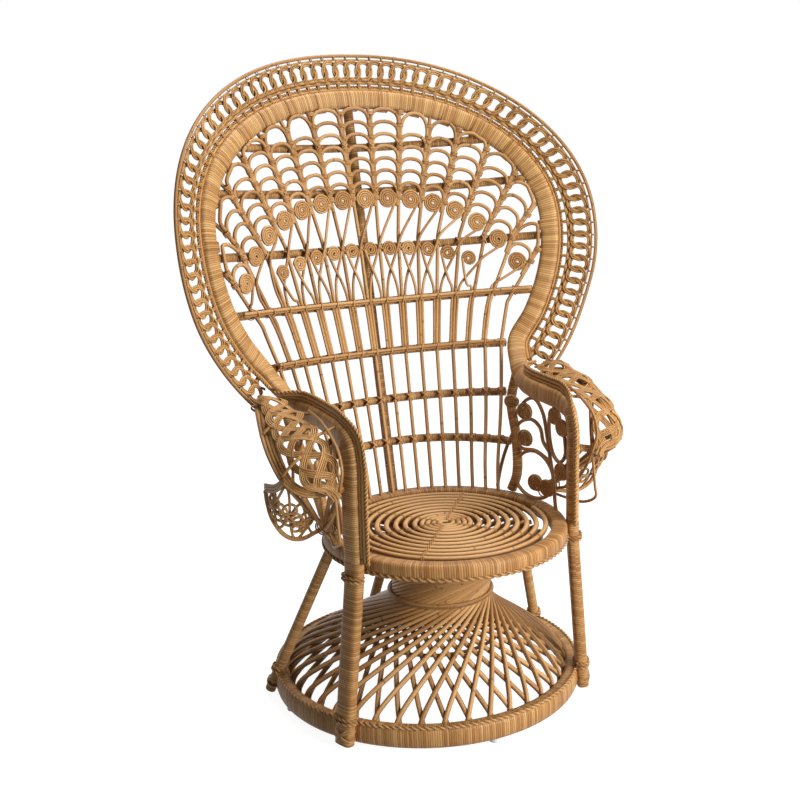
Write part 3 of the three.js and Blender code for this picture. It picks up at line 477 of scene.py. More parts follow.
class Shading:
    """Places and links the nodes of one node tree."""

    def __init__(self, tree: bpy.types.NodeTree) -> None:
        """Keeps the tree and empties it.

        Args:
            tree: Tree of a material, a world or a group.
        """
        self.tree = tree
        self.tree.nodes.clear()

    @classmethod
    def of(cls, owner: bpy.types.Material | bpy.types.World) -> Shading:
        """Starts the tree of a material or a world."""
        owner.use_nodes = True
        return cls(owner.node_tree)

    def feed(self, socket: bpy.types.NodeSocket, value: object) -> None:
        """Links another socket to an input, or sets a plain value on it.

        Args:
            socket: The input.
            value: Socket, number or colour.
        """
        if isinstance(value, bpy.types.NodeSocket):
            self.tree.links.new(value, socket)
        else:
            socket.default_value = value

    def node(self, kind: str, links: dict | None = None, **settings: object) -> bpy.types.Node:
        """Adds one node.

        Args:
            kind: Name of the node type.
            links: Sockets or plain values by input name or number.
            **settings: Values of the node's own options.

        Returns:
            The node.
        """
        made = self.tree.nodes.new(kind)
        for option, value in settings.items():
            setattr(made, option, value)
        for name, value in (links or {}).items():
            self.feed(made.inputs[name], value)
        return made

    def math(self, operation: str, *values: object) -> bpy.types.NodeSocket:
        """Adds a sum of one to three values.

        Args:
            operation: Name of the sum.
            *values: Sockets or numbers.

        Returns:
            The result's socket.
        """
        return self.node("ShaderNodeMath", dict(enumerate(values)), operation=operation).outputs[0]

    def ramp(self, value: bpy.types.NodeSocket, stops: list) -> bpy.types.NodeSocket:
        """Turns a value into a colour.

        Args:
            value: Socket to read.
            stops: Pairs of place and colour.

        Returns:
            The colour's socket.
        """
        made = self.node("ShaderNodeValToRGB", {0: value})
        elements = made.color_ramp.elements
        for element, (place, colour) in zip(elements, (stops[0], stops[-1])):
            element.position = place
            element.color = (*colour, 1.0)
        for place, colour in stops[1:-1]:
            elements.new(place).color = (*colour, 1.0)
        return made.outputs["Color"]

    def blend(self, share: bpy.types.NodeSocket, first: bpy.types.NodeSocket,
              second: tuple) -> bpy.types.NodeSocket:
        """Mixes a colour into another.

        Args:
            share: How much of the second colour shows.
            first: Socket of the first colour.
            second: The second colour.

        Returns:
            The colour's socket.
        """
        made = self.node("ShaderNodeMix", data_type="RGBA")
        inputs = (("Factor", "VALUE", share), ("A", "RGBA", first), ("B", "RGBA", (*second, 1.0)))
        for name, kind, value in inputs:
            self.feed(next(s for s in made.inputs if s.name == name and s.type == kind), value)
        return next(s for s in made.outputs if s.type == "RGBA")

    def group(self, tree: bpy.types.NodeTree, inputs: dict) -> bpy.types.NodeOutputs:
        """Adds a shared group and gives its outputs."""
        return self.node("ShaderNodeGroup", inputs, node_tree=tree).outputs

    def surface(self, inputs: dict) -> None:
        """Adds the surface shader and the material's output."""
        shader = self.node("ShaderNodeBsdfPrincipled", inputs)
        self.node("ShaderNodeOutputMaterial", {"Surface": shader.outputs[0]})


@dataclass
class Effects:
    """Shader groups that the finishes share."""

    # Sharpness of the painted shade along the sides of strands.
    side_shade_power: float = 5.0
    streak_detail: float = 3.0
    joints_per_metre: float = 3.1
    joint_width: float = 0.012
    patch_detail: float = 2.0
    tint_share: float = 0.5

    def __post_init__(self) -> None:
        """Builds each group once."""
        self.fibre = self._fibre()
        self.shade = self._shade()
        self.winding = self._winding()

    @staticmethod
    def _group(name: str, inputs: tuple, outputs: tuple) -> tuple:
        """Starts a group.

        Args:
            name: Name of the group.
            inputs: Names of its number inputs.
            outputs: Names of its number outputs.

        Returns:
            The group's shading helper and the outputs of its input node.
        """
        group = bpy.data.node_groups.new(name, "ShaderNodeTree")
        for names, way in ((inputs, "INPUT"), (outputs, "OUTPUT")):
            for label in names:
                group.interface.new_socket(name=label, in_out=way, socket_type="NodeSocketFloat")
        shading = Shading(group)
        return shading, shading.node("NodeGroupInput").outputs

    def _fibre(self) -> bpy.types.NodeTree:
        """Builds long fibre streaks, the joints of a rattan stalk and painted shade along its sides, where
        strands meet.

        Returns:
            The group.
        """
        shading, source = self._group("fibre_streaks", ("Along", "Around"), ("Streak", "Joint", "Side"))
        chart = shading.node("ShaderNodeUVMap", uv_map="strand").outputs[0]
        parts = shading.node("ShaderNodeSeparateXYZ", {0: chart})
        along = shading.math("MULTIPLY", parts.outputs[0], source["Along"])
        around = shading.math("MULTIPLY", parts.outputs[1], TURN)
        lateral = shading.math("COSINE", around)
        # Painted shade: the strand grows darker towards its sides, where it meets the next strand.
        side = shading.math("POWER", shading.math("ABSOLUTE", lateral), self.side_shade_power)
        wide = shading.math("MULTIPLY", lateral, source["Around"])
        deep = shading.math("MULTIPLY", shading.math("SINE", around), source["Around"])
        place = shading.node("ShaderNodeCombineXYZ", {0: along, 1: wide, 2: deep}).outputs[0]
        noise = {"Vector": place, "Scale": 1.0, "Detail": self.streak_detail}
        streak = shading.node("ShaderNodeTexNoise", noise).outputs[0]
        ring = shading.math("FRACT", shading.math("MULTIPLY", parts.outputs[0], self.joints_per_metre))
        near = shading.math("ABSOLUTE", shading.math("SUBTRACT", ring, 0.5))
        span = {0: near, 1: 0.0, 2: self.joint_width, 3: 1.0, 4: 0.0}
        joint = shading.node("ShaderNodeMapRange", span).outputs[0]
        shading.node("NodeGroupOutput", {"Streak": streak, "Joint": joint, "Side": side})
        return shading.tree

    def _shade(self) -> bpy.types.NodeTree:
        """Builds the difference between strands and slow patches of age.

        Returns:
            The group.
        """
        shading, source = self._group("strand_shade", ("Patch Scale",), ("Shade",))
        tint = shading.node("ShaderNodeAttribute", attribute_name="tint").outputs["Fac"]
        place = shading.node("ShaderNodeTexCoord").outputs["Object"]
        noise = {"Vector": place, "Scale": source["Patch Scale"], "Detail": self.patch_detail}
        patch = shading.node("ShaderNodeTexNoise", noise).outputs[0]
        own = shading.math("MULTIPLY", tint, self.tint_share)
        shared = shading.math("MULTIPLY", patch, 1.0 - self.tint_share)
        shading.node("NodeGroupOutput", {"Shade": shading.math("ADD", own, shared)})
        return shading.tree

    def _winding(self) -> bpy.types.NodeTree:
        """Builds the tint of each turn of a winding and the painted shade in the line between turns.

        Returns:
            The group.
        """
        shading, source = self._group("winding_turns", ("Gap",), ("Turn", "Seam"))
        chart = shading.node("ShaderNodeUVMap", uv_map="strand").outputs[0]
        count = shading.node("ShaderNodeSeparateXYZ", {0: chart}).outputs[0]
        number = shading.math("FLOOR", count)
        turn = shading.node("ShaderNodeTexWhiteNoise", {"W": number}, noise_dimensions="1D").outputs[0]
        # Painted shade in the crease between two turns.
        place = shading.math("ABSOLUTE", shading.math("SUBTRACT", shading.math("FRACT", count), 0.5))
        edge = shading.math("SUBTRACT", 0.5, source["Gap"])
        joint_and_seam_shade = shading.node("ShaderNodeMapRange", {0: place, 1: edge, 2: 0.5, 3: 0.0, 4: 1.0}).outputs[0]
        shading.node("NodeGroupOutput", {"Turn": turn, "Seam": joint_and_seam_shade})
        return shading.tree


@dataclass(frozen=True)
class CaneFinish:
    """Varnished cane or rattan."""

    name: str
    dark: tuple
    middle: tuple
    light: tuple
    # Colour of the real dark joints of rattan and of the painted shade between turns and along the sides of
    # strands.
    joint_and_seam_shade: tuple
    roughness: float
    wound: bool = False
    along: float = 9.0
    around: float = 2.2
    patch: float = 5.0
    stops: tuple = (0.12, 0.5, 0.9)
    streak_share: float = 0.45
    streak_base: float = -0.1
    shade_share: float = 0.7
    wound_share: float = 0.8
    turn_share: float = 0.42
    # Width of the painted shade between turns, as a share of a turn.
    turn_gap: float = 0.18
    joint_and_seam_shade_share: float = 0.85
    rough_share: float = 0.22
    rough_base: float = -0.1
    bump: float = 0.25
    bump_depth: float = 0.0006
    specular: float = 0.2
    coat: float = 0.02
    coat_roughness: float = 0.3

    def material(self, effects: Effects) -> bpy.types.Material:
        """Builds the material.

        Args:
            effects: Groups that the finishes share.

        Returns:
            The material.
        """
        made = bpy.data.materials.new(self.name)
        shading = Shading.of(made)
        fibre = shading.group(effects.fibre, {"Along": self.along, "Around": self.around})
        shade = shading.group(effects.shade, {"Patch Scale": self.patch})[0]
        level = shading.math("MULTIPLY_ADD", fibre["Streak"], self.streak_share, self.streak_base)
        level = shading.math("ADD", level, shading.math("MULTIPLY", shade, self.shade_share))
        # Real dark joints, and painted shade along the sides of strands; a winding takes painted shade
        # between its turns instead.
        joint_and_seam_shade = shading.math("MAXIMUM", fibre["Joint"], fibre["Side"])
        if self.wound:
            winding = shading.group(effects.winding, {"Gap": self.turn_gap})
            level = shading.math("MULTIPLY", level, self.wound_share)
            level = shading.math("MULTIPLY_ADD", winding["Turn"], self.turn_share, level)
            joint_and_seam_shade = winding["Seam"]
        colour = shading.ramp(level, list(zip(self.stops, (self.dark, self.middle, self.light))))
        colour = shading.blend(shading.math("MULTIPLY", joint_and_seam_shade, self.joint_and_seam_shade_share), colour, self.joint_and_seam_shade)
        base = self.roughness + self.rough_base
        rough = shading.math("MULTIPLY_ADD", fibre["Streak"], self.rough_share, base)
        relief = {"Height": fibre["Streak"], "Strength": self.bump, "Distance": self.bump_depth}
        shading.surface({
            "Base Color": colour, "Roughness": rough,
            "Normal": shading.node("ShaderNodeBump", relief).outputs[0],
            "Specular IOR Level": self.specular, "Coat Weight": self.coat,
            "Coat Roughness": self.coat_roughness,
        })
        return made


@dataclass(frozen=True)
class PlasticFinish:
    """Plain moulded plastic of the glides."""

    name: str
    pale: tuple
    worn: tuple
    patch: float = 90.0
    stops: tuple = (0.1, 0.5)
    bump: float = 0.1
    bump_depth: float = 0.0003
    roughness: float = 0.45

    def material(self, effects: Effects) -> bpy.types.Material:
        """Builds the material.

        Args:
            effects: Groups that the finishes share.

        Returns:
            The material.
        """
        made = bpy.data.materials.new(self.name)
        shading = Shading.of(made)
        shade = shading.group(effects.shade, {"Patch Scale": self.patch})[0]
        colour = shading.ramp(shade, list(zip(self.stops, (self.worn, self.pale))))
        relief = {"Height": shade, "Strength": self.bump, "Distance": self.bump_depth}
        bump = shading.node("ShaderNodeBump", relief).outputs[0]
        shading.surface({"Base Color": colour, "Roughness": self.roughness, "Normal": bump})
        return made


@dataclass
class Plan:
    """Materials by finish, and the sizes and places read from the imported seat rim."""

    materials: dict
    middle: np.ndarray
    seat_top: float
    rim_outside: float
    rim_height: float
    rim_width: float = 0.036
    clearance: float = 0.0003

    @classmethod
    def read(cls, materials: dict) -> Plan:
        """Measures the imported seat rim.

        Args:
            materials: Materials by finish.

        Returns:
            The plan.
        """
        low, high = (np.array(corner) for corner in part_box("seat_rim"))
        middle = (low + high) / 2.0 * np.array([1.0, 1.0, 0.0])
        return cls(materials, middle, high[2], (high[0] - low[0]) / 2.0, high[2] - low[2])

    def pole(self, node: str, path: np.ndarray, *size: float, tone: tuple = (0.0, 1.0),
             wrap: Wrap = Wrap(), **section: object) -> None:
        """Winds one pole that stands for a node.

        Args:
            node: The node.
            path: The pole's centreline.
            *size: Its width, and its depth where that differs.
            tone: Range of its tint.
            wrap: How the cane is wound.
            **section: Facing, corners and squareness, as for a strand.
        """
        wound = Bundle(f"{node}_wrapped", Finish.WRAPPED, tone)
        wound.strand(path, *size, wrap=wrap, **section)
        wound.make(self, node)


@dataclass
class BackSurface:
    """Leaning back whose level arcs open out from the seat's round plan to the fan."""

    plan: Plan
    lean: float = math.tan(math.radians(13.0))
    bow: float = 0.7
    bow_start: float = 0.47
    bow_end: float = 0.9
    post: float = 0.024
    bar: float = 0.02
    lashing_gap: float = 0.0012

    def __post_init__(self) -> None:
        """Works out where the back stands behind the seat."""
        self.post_lift = -(self.bar / 2 + self.lashing_gap + self.post / 2)
        plan = self.plan
        rest = plan.rim_outside + plan.clearance + self.post / 2 + plan.rim_height / 2 * self.lean
        self.radius = rest + self.post_lift * math.hypot(1.0, self.lean)

    def bow_radius(self, z: np.ndarray | float) -> np.ndarray:
        """Gives the radius of the level arc at a height."""
        share = np.clip((np.asarray(z) - self.bow_start) / (self.bow_end - self.bow_start), 0.0, 1.0)
        return self.radius + (self.bow - self.radius) * share * share * (3.0 - 2.0 * share)

    def depth(self, x: np.ndarray | float, z: np.ndarray | float) -> np.ndarray:
        """Gives the y of the surface.

        Args:
            x: Distance to the right.
            z: Height.

        Returns:
            The y of each place.
        """
        bow = self.bow_radius(z)
        line = self.radius + (np.asarray(z) - self.plan.seat_top) * self.lean
        return line - bow + np.sqrt(np.maximum(bow * bow - np.asarray(x) ** 2, 1e-6))

    def facing(self, x: np.ndarray | float, z: np.ndarray | float) -> np.ndarray:
        """Gives the unit vector that points out of the surface to the front.

        Args:
            x: Distance to the right.
            z: Height.

        Returns:
            One vector for each place.
        """
        x, z = np.broadcast_arrays(np.asarray(x, dtype=float), np.asarray(z, dtype=float))
        slope_x = (self.depth(x + PROBE, z) - self.depth(x - PROBE, z)) / (2 * PROBE)
        slope_z = (self.depth(x, z + PROBE) - self.depth(x, z - PROBE)) / (2 * PROBE)
        return unit(np.stack([slope_x, -np.ones_like(slope_x), slope_z], axis=-1))

    def point(self, x: np.ndarray | float, z: np.ndarray | float,
              lift: np.ndarray | float = 0.0) -> np.ndarray:
        """Gives points of the surface.

        Args:
            x: Distance to the right.
            z: Height.
            lift: Distance in front of the surface.

        Returns:
            Rows of x, y and z.
        """
        x, z = np.broadcast_arrays(np.asarray(x, dtype=float), np.asarray(z, dtype=float))
        flat = np.stack([x, self.depth(x, z), z], axis=-1)
        return flat + self.facing(x, z) * np.asarray(lift)[..., None]

    def across(self, arc: np.ndarray | float, z: np.ndarray | float) -> np.ndarray:
        """Gives the x of an arc length from the middle of the back."""
        bow = self.bow_radius(z)
        return bow * np.sin(np.asarray(arc) / bow)


@dataclass
class Hoop:
    """Wrapped band that runs from post to post, round both arms and the fan."""

    plan: Plan
    back: BackSurface
    width: float = 0.044
    depth: float = 0.027
    half_width: float = 0.425
    wide_height: float = 1.05
    top: float = 1.343
    shoulder: float = 2.2
    arm_height: float = 0.684
    arm_corner: float = 0.052
    arm_back: float = 0.09
    arm_rise: float = 0.004
    neck_half_width: float = 0.3
    neck_back: float = 0.196
    neck_rise: float = 0.038
    neck_ease: float = 0.016
    neck_lead: float = math.radians(5.0)
    leg_angle: float = -23.0
    foot_gap: float = 0.008
    half_steps: int = 13
    fan_cord: float = 0.0068
    fan_cords: int = 2
    cord_lay: float = 2.1
    cord_gap: int = 5
    arm_cord: float = 0.0085
    arm_cords: int = 3
    cord_seat: float = 0.4
    twist_seat: float = 0.25
    corners: int = 18
    square: float = 3.2

    def __post_init__(self) -> None:
        """Works out the neck, the fan's oval and the band's centreline."""
        self.neck_height = self.arm_height + self.neck_rise
        self.neck_angle = math.acos(self.neck_half_width / self.half_width)
        self.drop = (self.wide_height - self.neck_height - self.neck_ease) / math.sin(self.neck_angle)
        plan = self.plan
        foot_radius = plan.rim_outside + plan.clearance + self.depth / 2
        self.foot = polar(foot_radius, self.leg_angle, plan.seat_top - self.foot_gap + plan.clearance)
        line = curve(self._controls(), FINE_STEP)
        self.path, self.facings = line[:, :3], unit(line[:, 3:])
        self.outward = unit(np.cross(tangents(self.path, False), self.facings))

    def oval(self, angle: np.ndarray, half_width: float, top: float, drop: float, shoulder: float) -> tuple:
        """Gives x and z on an oval of hoop or border, angle 0 at its widest place.

        Args:
            angle: Angles from the right end of the widest place up.
            half_width: Half the widest place.
            top: Height of the top.
            drop: How far the lower half would reach down.
            shoulder: 2 gives a round upper half, more gives a squarer one.

        Returns:
            The x and the z of each angle.
        """
        c, s = np.cos(angle), np.sin(angle)
        power = 2.0 / shoulder
        x = np.where(angle < 0, half_width * c, half_width * bulge(c, power))
        rise = (top - self.wide_height) * np.abs(s) ** power
        return x, self.wide_height + np.where(angle < 0, drop * s, rise)

    def fan(self, angle: np.ndarray) -> tuple:
        """Gives x and z of the hoop's centreline on the fan."""
        return self.oval(angle, self.half_width, self.top, self.drop, self.shoulder)

    def reach(self, z: float) -> float:
        """Gives the fan's half width at a height above the neck.

        Args:
            z: Height.

        Returns:
            The half width.
        """
        level = z - self.wide_height
        if level < 0:
            return self.half_width * math.sqrt(max(1.0 - (level / self.drop) ** 2, 0.0))
        rise = (level / (self.top - self.wide_height)) ** self.shoulder
        return self.half_width * max(1.0 - rise, 0.0) ** (1.0 / self.shoulder)

    def _controls(self) -> np.ndarray:
        """Lists the band's bends with the way its flat side faces.

        Returns:
            Rows of place and facing, from the right post to the left.
        """
        foot, corner, arm = self.foot, self.arm_corner, self.arm_height
        inward = unit(np.array([-foot[0], -foot[1], 0.0]))
        sideways = np.array([-1.0, 0.0, 0.0])
        eased = corner * (1.0 - math.sqrt(0.5))
        neck = self.back.facing(self.neck_half_width, self.neck_height)
        bend = unit(np.array([sideways[0] + neck[0], sideways[1] + neck[1], 0.0]))
        bend_height = arm + (self.neck_height - arm) / 4.0
        x, y = foot[0], foot[1]
        middle = (y + self.arm_back) / 2.0
        rows = [
            [foot, inward],
            [[x, y, (foot[2] + arm) / 2.0], inward],
            [[x, y, arm - corner], inward],
            [[x, y + eased, arm - eased], inward],
            [[x, y + corner, arm], sideways],
            [[x, middle, arm + self.arm_rise / 2], sideways],
            [[x + self.arm_rise, self.arm_back, arm + self.arm_rise], sideways],
            [[(x + self.neck_half_width) / 2, (self.arm_back + self.neck_back) / 2, bend_height], bend],
            [[self.neck_half_width, self.neck_back, self.neck_height], neck],
        ]
        half = np.array([np.concatenate([spot, way]) for spot, way in rows])
        start = self.neck_lead - self.neck_angle
        angles = start + np.arange(self.half_steps + 1) * (math.pi / 2 - start) / self.half_steps
        fan_x, fan_z = self.fan(angles)
        fan = np.hstack([self.back.point(fan_x, fan_z), self.back.facing(fan_x, fan_z)])
        fan[-1, [0, 3]] = 0.0
        right = np.vstack([half, fan])
        left = right[-2::-1].copy()
        left[:, [0, 3]] *= -1.0
        return np.vstack([right, left])

    def build(self) -> None:
        """Makes the band and the cords along its outer edge."""
        band = Bundle("hoop_band", Finish.WRAPPED)
        band.strand(self.path, self.width, self.depth, self.facings, sides=self.corners,
                    square=self.square, wrap=Wrap())
        band.make(self.plan, "main_hoop")
        cords = Bundle("hoop_cords", Finish.LACE, (0.35, 1.0))
        fan = np.flatnonzero(self.path[:, 2] > self.neck_height)
        ends = (slice(0, fan[0] - self.cord_gap), slice(fan[-1] + self.cord_gap, None))
        arms = ((part, self.arm_cord, self.arm_cords) for part in ends)
        for part, size, count in (*arms, (slice(fan[0], fan[-1]), self.fan_cord, self.fan_cords)):
            for step in range(count):
                outermost = step == count - 1
                apart = step + (self.twist_seat if outermost else self.cord_seat)
                away = self.path[part] + self.outward[part] * (self.width / 2 + size * apart)
                if outermost:
                    cords.twist(away, size, lay=self.cord_lay)
                else:
                    cords.strand(away, size, size, self.facings[part])
        cords.make(self.plan)


@dataclass
class BaseRing:
    """Wrapped ring on the floor with its cord and plastic glides."""

    plan: Plan
    width: float = 0.034
    corners: int = 18
    square: float = 3.2
    wraps: int = 452
    cord: float = 0.009
    cord_out: float = 0.36
    cord_sink: float = 0.15
    glides: int = 4
    glide_corners: int = 32

    # Share of the glide's radius and of its height, from the sole up.
    glide_profile: tuple = ((0.55, 0.0), (0.8, 0.04), (0.93, 0.14), (1.0, 0.32), (1.0, 0.8), (0.97, 1.0))

    def __post_init__(self) -> None:
        """Reads the ring's place and section from the frame."""
        low, high = (np.array(corner) - self.plan.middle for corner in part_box("base_ring"))
        self.backset = (high[1] + low[1]) / 2.0
        self.low, self.high = low[2], high[2]
        self.radius = (high[0] - low[0]) / 2.0 - self.width / 2.0
        self.height = (self.low + self.high) / 2.0

    def build(self) -> None:
        """Makes the ring, the twisted cord on its edge and the glides."""
        path = circle(self.radius, self.height, self.backset, POLE_STEP)
        wrap = Wrap(wander=0.0, pitch=TURN * self.radius / self.wraps)
        self.plan.pole("base_ring", path, self.width, self.high - self.low, wrap=wrap, facing=-UP,
                       sides=self.corners, closed=True, square=self.square)
        cord = Bundle("base_cord", Finish.RATTAN)
        out, high = self.radius + self.width * self.cord_out, self.high - self.cord * self.cord_sink
        cord.twist(circle(out, high, self.backset, FINE_STEP), self.cord, closed=True)
        cord.make(self.plan)
        for index in range(self.glides):
            self._glide(index)

    def _glide(self, index: int) -> None:
        """Turns one glide with a soft rim and a flat sole.

        Args:
            index: Which glide, counted from the front.
        """
        node = f"glide_{index + 1}"
        low, high = (np.array(corner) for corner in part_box(node))
        middle = (low + high) / 2.0
        radius = (high[0] - low[0]) / 2.0
        tall = high[2] - low[2]
        turn = np.linspace(TURN, 0.0, self.glide_corners + 1)
        ring = np.stack([radius * np.cos(turn), radius * np.sin(turn), np.zeros_like(turn)], axis=1)
        rows = [ring * share + UP * tall * level for share, level in self.glide_profile]
        body = np.array(rows) + np.array([middle[0], middle[1], low[2]]) - self.plan.middle
        along = np.tile(UP, (len(rows), 1))
        chart = np.tile(np.arange(len(rows))[:, None] * tall, (1, len(turn)))
        bundle = Bundle(f"{node}_moulded", Finish.PLASTIC)
        bundle.grid(body, chart, turn / TURN, along, False, 0.0)
        bundle.make(self.plan, node)


@dataclass
class Seat:
    """Wrapped rim, cane wound from the middle to the rim and the poles under it."""

    plan: Plan
    rim_wraps: int = 338
    rim_corners: int = 20
    rim_square: float = 3.6
    cord: float = 0.0105
    cord_out: float = 0.44
    cane: float = 0.012
    cane_rows: int = 700
    cane_step: float = 0.007
    tight_turns: int = 4
    tight_pitch: float = 0.0128
    open_turns: int = 8
    start_gap: float = 0.001
    rim_gap: float = 0.004
    stitch_angles: tuple = (3.0, 52.0, 128.0, 183.0, 232.0, 308.0)
    stitch_apart: float = 0.0022
    stitch_gap: float = 0.0006
    stitch_cane: tuple = (0.0036, 0.0012)
    pole: float = 0.016
    pole_angles: tuple = (52.0, 128.0, 308.0)
    pole_reach: float = 0.002
    pole_gap: float = 0.001
    pole_step: float = 0.02

    def spiral(self, turns: np.ndarray) -> np.ndarray:
        """Gives the winding's radius after a number of turns.

        Args:
            turns: Turns from the middle.

        Returns:
            The radius.
        """
        start = self.cane / 2 + self.start_gap
        tight = start + self.tight_turns * self.tight_pitch
        end = self.plan.rim_outside - self.plan.rim_width - self.rim_gap - self.cane / 2
        wide = np.maximum(turns - self.tight_turns, 0.0) * (end - tight) / self.open_turns
        return start + np.minimum(turns, self.tight_turns) * self.tight_pitch + wide

    def build(self) -> None:
        """Makes rim, cord under the rim, winding, stitches and poles."""
        plan = self.plan
        radius = plan.rim_outside - plan.rim_width / 2
        height = plan.seat_top - plan.rim_height / 2
        wrap = Wrap(wander=0.0, pitch=TURN * radius / self.rim_wraps)
        path = circle(radius, height, 0.0, POLE_STEP)
        plan.pole("seat_rim", path, plan.rim_width, plan.rim_height, wrap=wrap, facing=-UP,
                  sides=self.rim_corners, closed=True, square=self.rim_square)
        cord = Bundle("seat_cord", Finish.RATTAN)
        out, low = radius + plan.rim_width * self.cord_out, height - plan.rim_height * self.cord_out
        cord.twist(circle(out, low, 0.0, FINE_STEP), self.cord, closed=True)
        cord.make(plan)
        self._winding()
        self._poles()

    def _winding(self) -> None:
        """Winds the cane and stitches its turns along straight lines."""
        count = self.tight_turns + self.open_turns
        turns = np.linspace(0.0, count, self.cane_rows)
        radius = self.spiral(turns)
        height = self.plan.seat_top - self.cane / 2
        angle = TURN * turns
        spots = [radius * np.cos(angle), radius * np.sin(angle), np.full_like(angle, height)]
        winding = Bundle("seat_winding_cane", Finish.RATTAN)
        winding.strand(even(np.stack(spots, axis=1), self.cane_step), self.cane, facing=UP, sides=10)
        stitches = Bundle("seat_stitches", Finish.LACE)
        reach = self.cane / 2 + self.stitch_gap
        for degrees in self.stitch_angles:
            across = polar(1.0, degrees, 0.0)
            for turn in range(1, count):
                spot = polar(float(self.spiral(np.array(turn + degrees / 360.0))), degrees, height)
                for shift in (-self.stitch_apart, self.stitch_apart):
                    middle = spot + np.cross(UP, across) * shift
                    stitches.loop(middle, across * reach, UP * reach, *self.stitch_cane)
        winding.make(self.plan, "seat_winding")
        stitches.make(self.plan)

    def _poles(self) -> None:
        """Lays the poles that carry the winding."""
        plan = self.plan
        reach = plan.rim_outside - plan.rim_width + self.pole_reach
        height = plan.seat_top - self.cane - plan.clearance - self.pole / 2 - self.pole_gap
        for name, degrees in zip(("long", "rear", "front"), self.pole_angles):
            start = polar(-reach if name == "long" else self.pole / 2, degrees, height)
            path = even(np.array([start, polar(reach, degrees, height)]), self.pole_step)
            pole = Bundle(f"seat_pole_{name}_cane", Finish.RATTAN)
            pole.strand(path, self.pole, facing=UP, sides=12)
            pole.make(plan, f"seat_pole_{name}")


@dataclass
class Legs:
    """Two flat wrapped front legs, two round rear legs and one back leg."""

    plan: Plan
    base: BaseRing
    front_angle: float = -23.0
    front_foot_angle: float = -36.0
    front_size: tuple = (0.046, 0.028)
    front_square: float = 3.0
    front_sink: float = 0.3
    round_leg: float = 0.025
    round_corners: int = 14
    rear_angle: float = 20.0
    rear_foot_angle: float = 15.7
    rear_inset: float = 0.8
    rear_drop: float = 0.75
    back_inset: float = 0.75
    back_drop: float = 0.9
    back_sink: float = 0.006
    foot_height: float = 0.012
    foot_gap: float = 0.008
    ring_gap: float = 0.001
    low_collars: tuple = (0.004, 0.013)
    high_collars: tuple = (0.006, 0.014)
    collar: float = 0.007
    collar_gap: float = 0.003
    collar_rows: int = 49
    tie_gap: float = 0.004
    tie_cane: tuple = (0.006, 0.003)
    tie_leans: tuple = (-1.0, -0.5, 0.5, 1.0)

    def build(self) -> None:
        """Makes the legs with their cord collars and the crossed cane at their feet."""
        plan, base = self.plan, self.base
        outside = base.radius + base.width / 2 + self.ring_gap
        under = plan.seat_top - plan.rim_height
        width, depth = self.front_size
        low = [base.high + gap for gap in self.low_collars]
        high = [under - gap for gap in self.high_collars]
        foot = polar(outside + depth * self.front_sink, self.front_foot_angle, self.foot_height, base.backset)
        top = polar(plan.rim_outside + depth / 2, self.front_angle, plan.seat_top - self.foot_gap)
        knee = np.array([top[0], top[1], under])
        front = curve([foot, foot + (knee - foot) * 0.5, knee, top], POLE_STEP)
        rear_foot = polar(outside + self.round_leg / 2, self.rear_foot_angle, self.foot_height, base.backset)
        rear_top = polar(plan.rim_outside - plan.rim_width * self.rear_inset, self.rear_angle,
                         plan.seat_top - plan.rim_height * self.rear_drop)
        rear = even(np.array([rear_foot, rear_top]), POLE_STEP)
        for name, side in SIDES.items():
            path, inward = sided(front, side), sided(unit(np.array([-top[0], -top[1], 0.0])), side)
            plan.pole(f"front_leg_{name}", path, width, depth, facing=inward, sides=16,
                      square=self.front_square)
            self._ties(f"front_{name}", path, inward, self.front_size, low + high)
            path = sided(rear, side)
            plan.pole(f"rear_leg_{name}", path, self.round_leg, sides=self.round_corners)
            inward = sided(unit(np.array([-rear_foot[0], -rear_foot[1], 0.0])), side)
            self._ties(f"rear_{name}", path, inward, (self.round_leg, self.round_leg), low)
        back_foot = polar(base.radius, 90.0, base.high - self.back_sink, base.backset)
        back_top = np.array([0.0, plan.rim_outside - plan.rim_width * self.back_inset,
                             plan.seat_top - plan.rim_height * self.back_drop])
        path = even(np.array([back_foot, back_top]), POLE_STEP)
        plan.pole("back_leg", path, self.round_leg, sides=self.round_corners)

    def _ties(self, name: str, path: np.ndarray, inward: np.ndarray, size: tuple, collars: list) -> None:
        """Binds a leg with collars and its foot to the base ring with crossed cane.

        Args:
            name: Which leg.
            path: The leg's centreline from its foot.
            inward: The way its flat side faces.
            size: The leg's width and depth.
            collars: Heights of the collars.
        """
        ties = Bundle(f"foot_ties_{name}", Finish.RATTAN)
        along = unit(path[-1] - path[0])
        across = unit(np.cross(along, inward))
        into = np.cross(across, along)
        turn = np.linspace(0.0, TURN, self.collar_rows)[:, None]
        wide, deep = (extent / 2 + self.collar_gap for extent in size)
        for height in collars:
            spot = path[0] + along * (height - path[0][2]) / along[2]
            ring = spot + across * np.cos(turn) * wide + into * np.sin(turn) * deep
            ties.twist(ring, self.collar, facing=along, closed=True)
        middle = path[0] + along * (self.base.height - path[0][2]) / along[2]
        for lean in self.tie_leans:
            rise = unit(across + lean * along) * (size[0] / 2 + self.tie_gap)
            ties.loop(middle, rise, into * deep, *self.tie_cane)
        ties.make(self.plan)


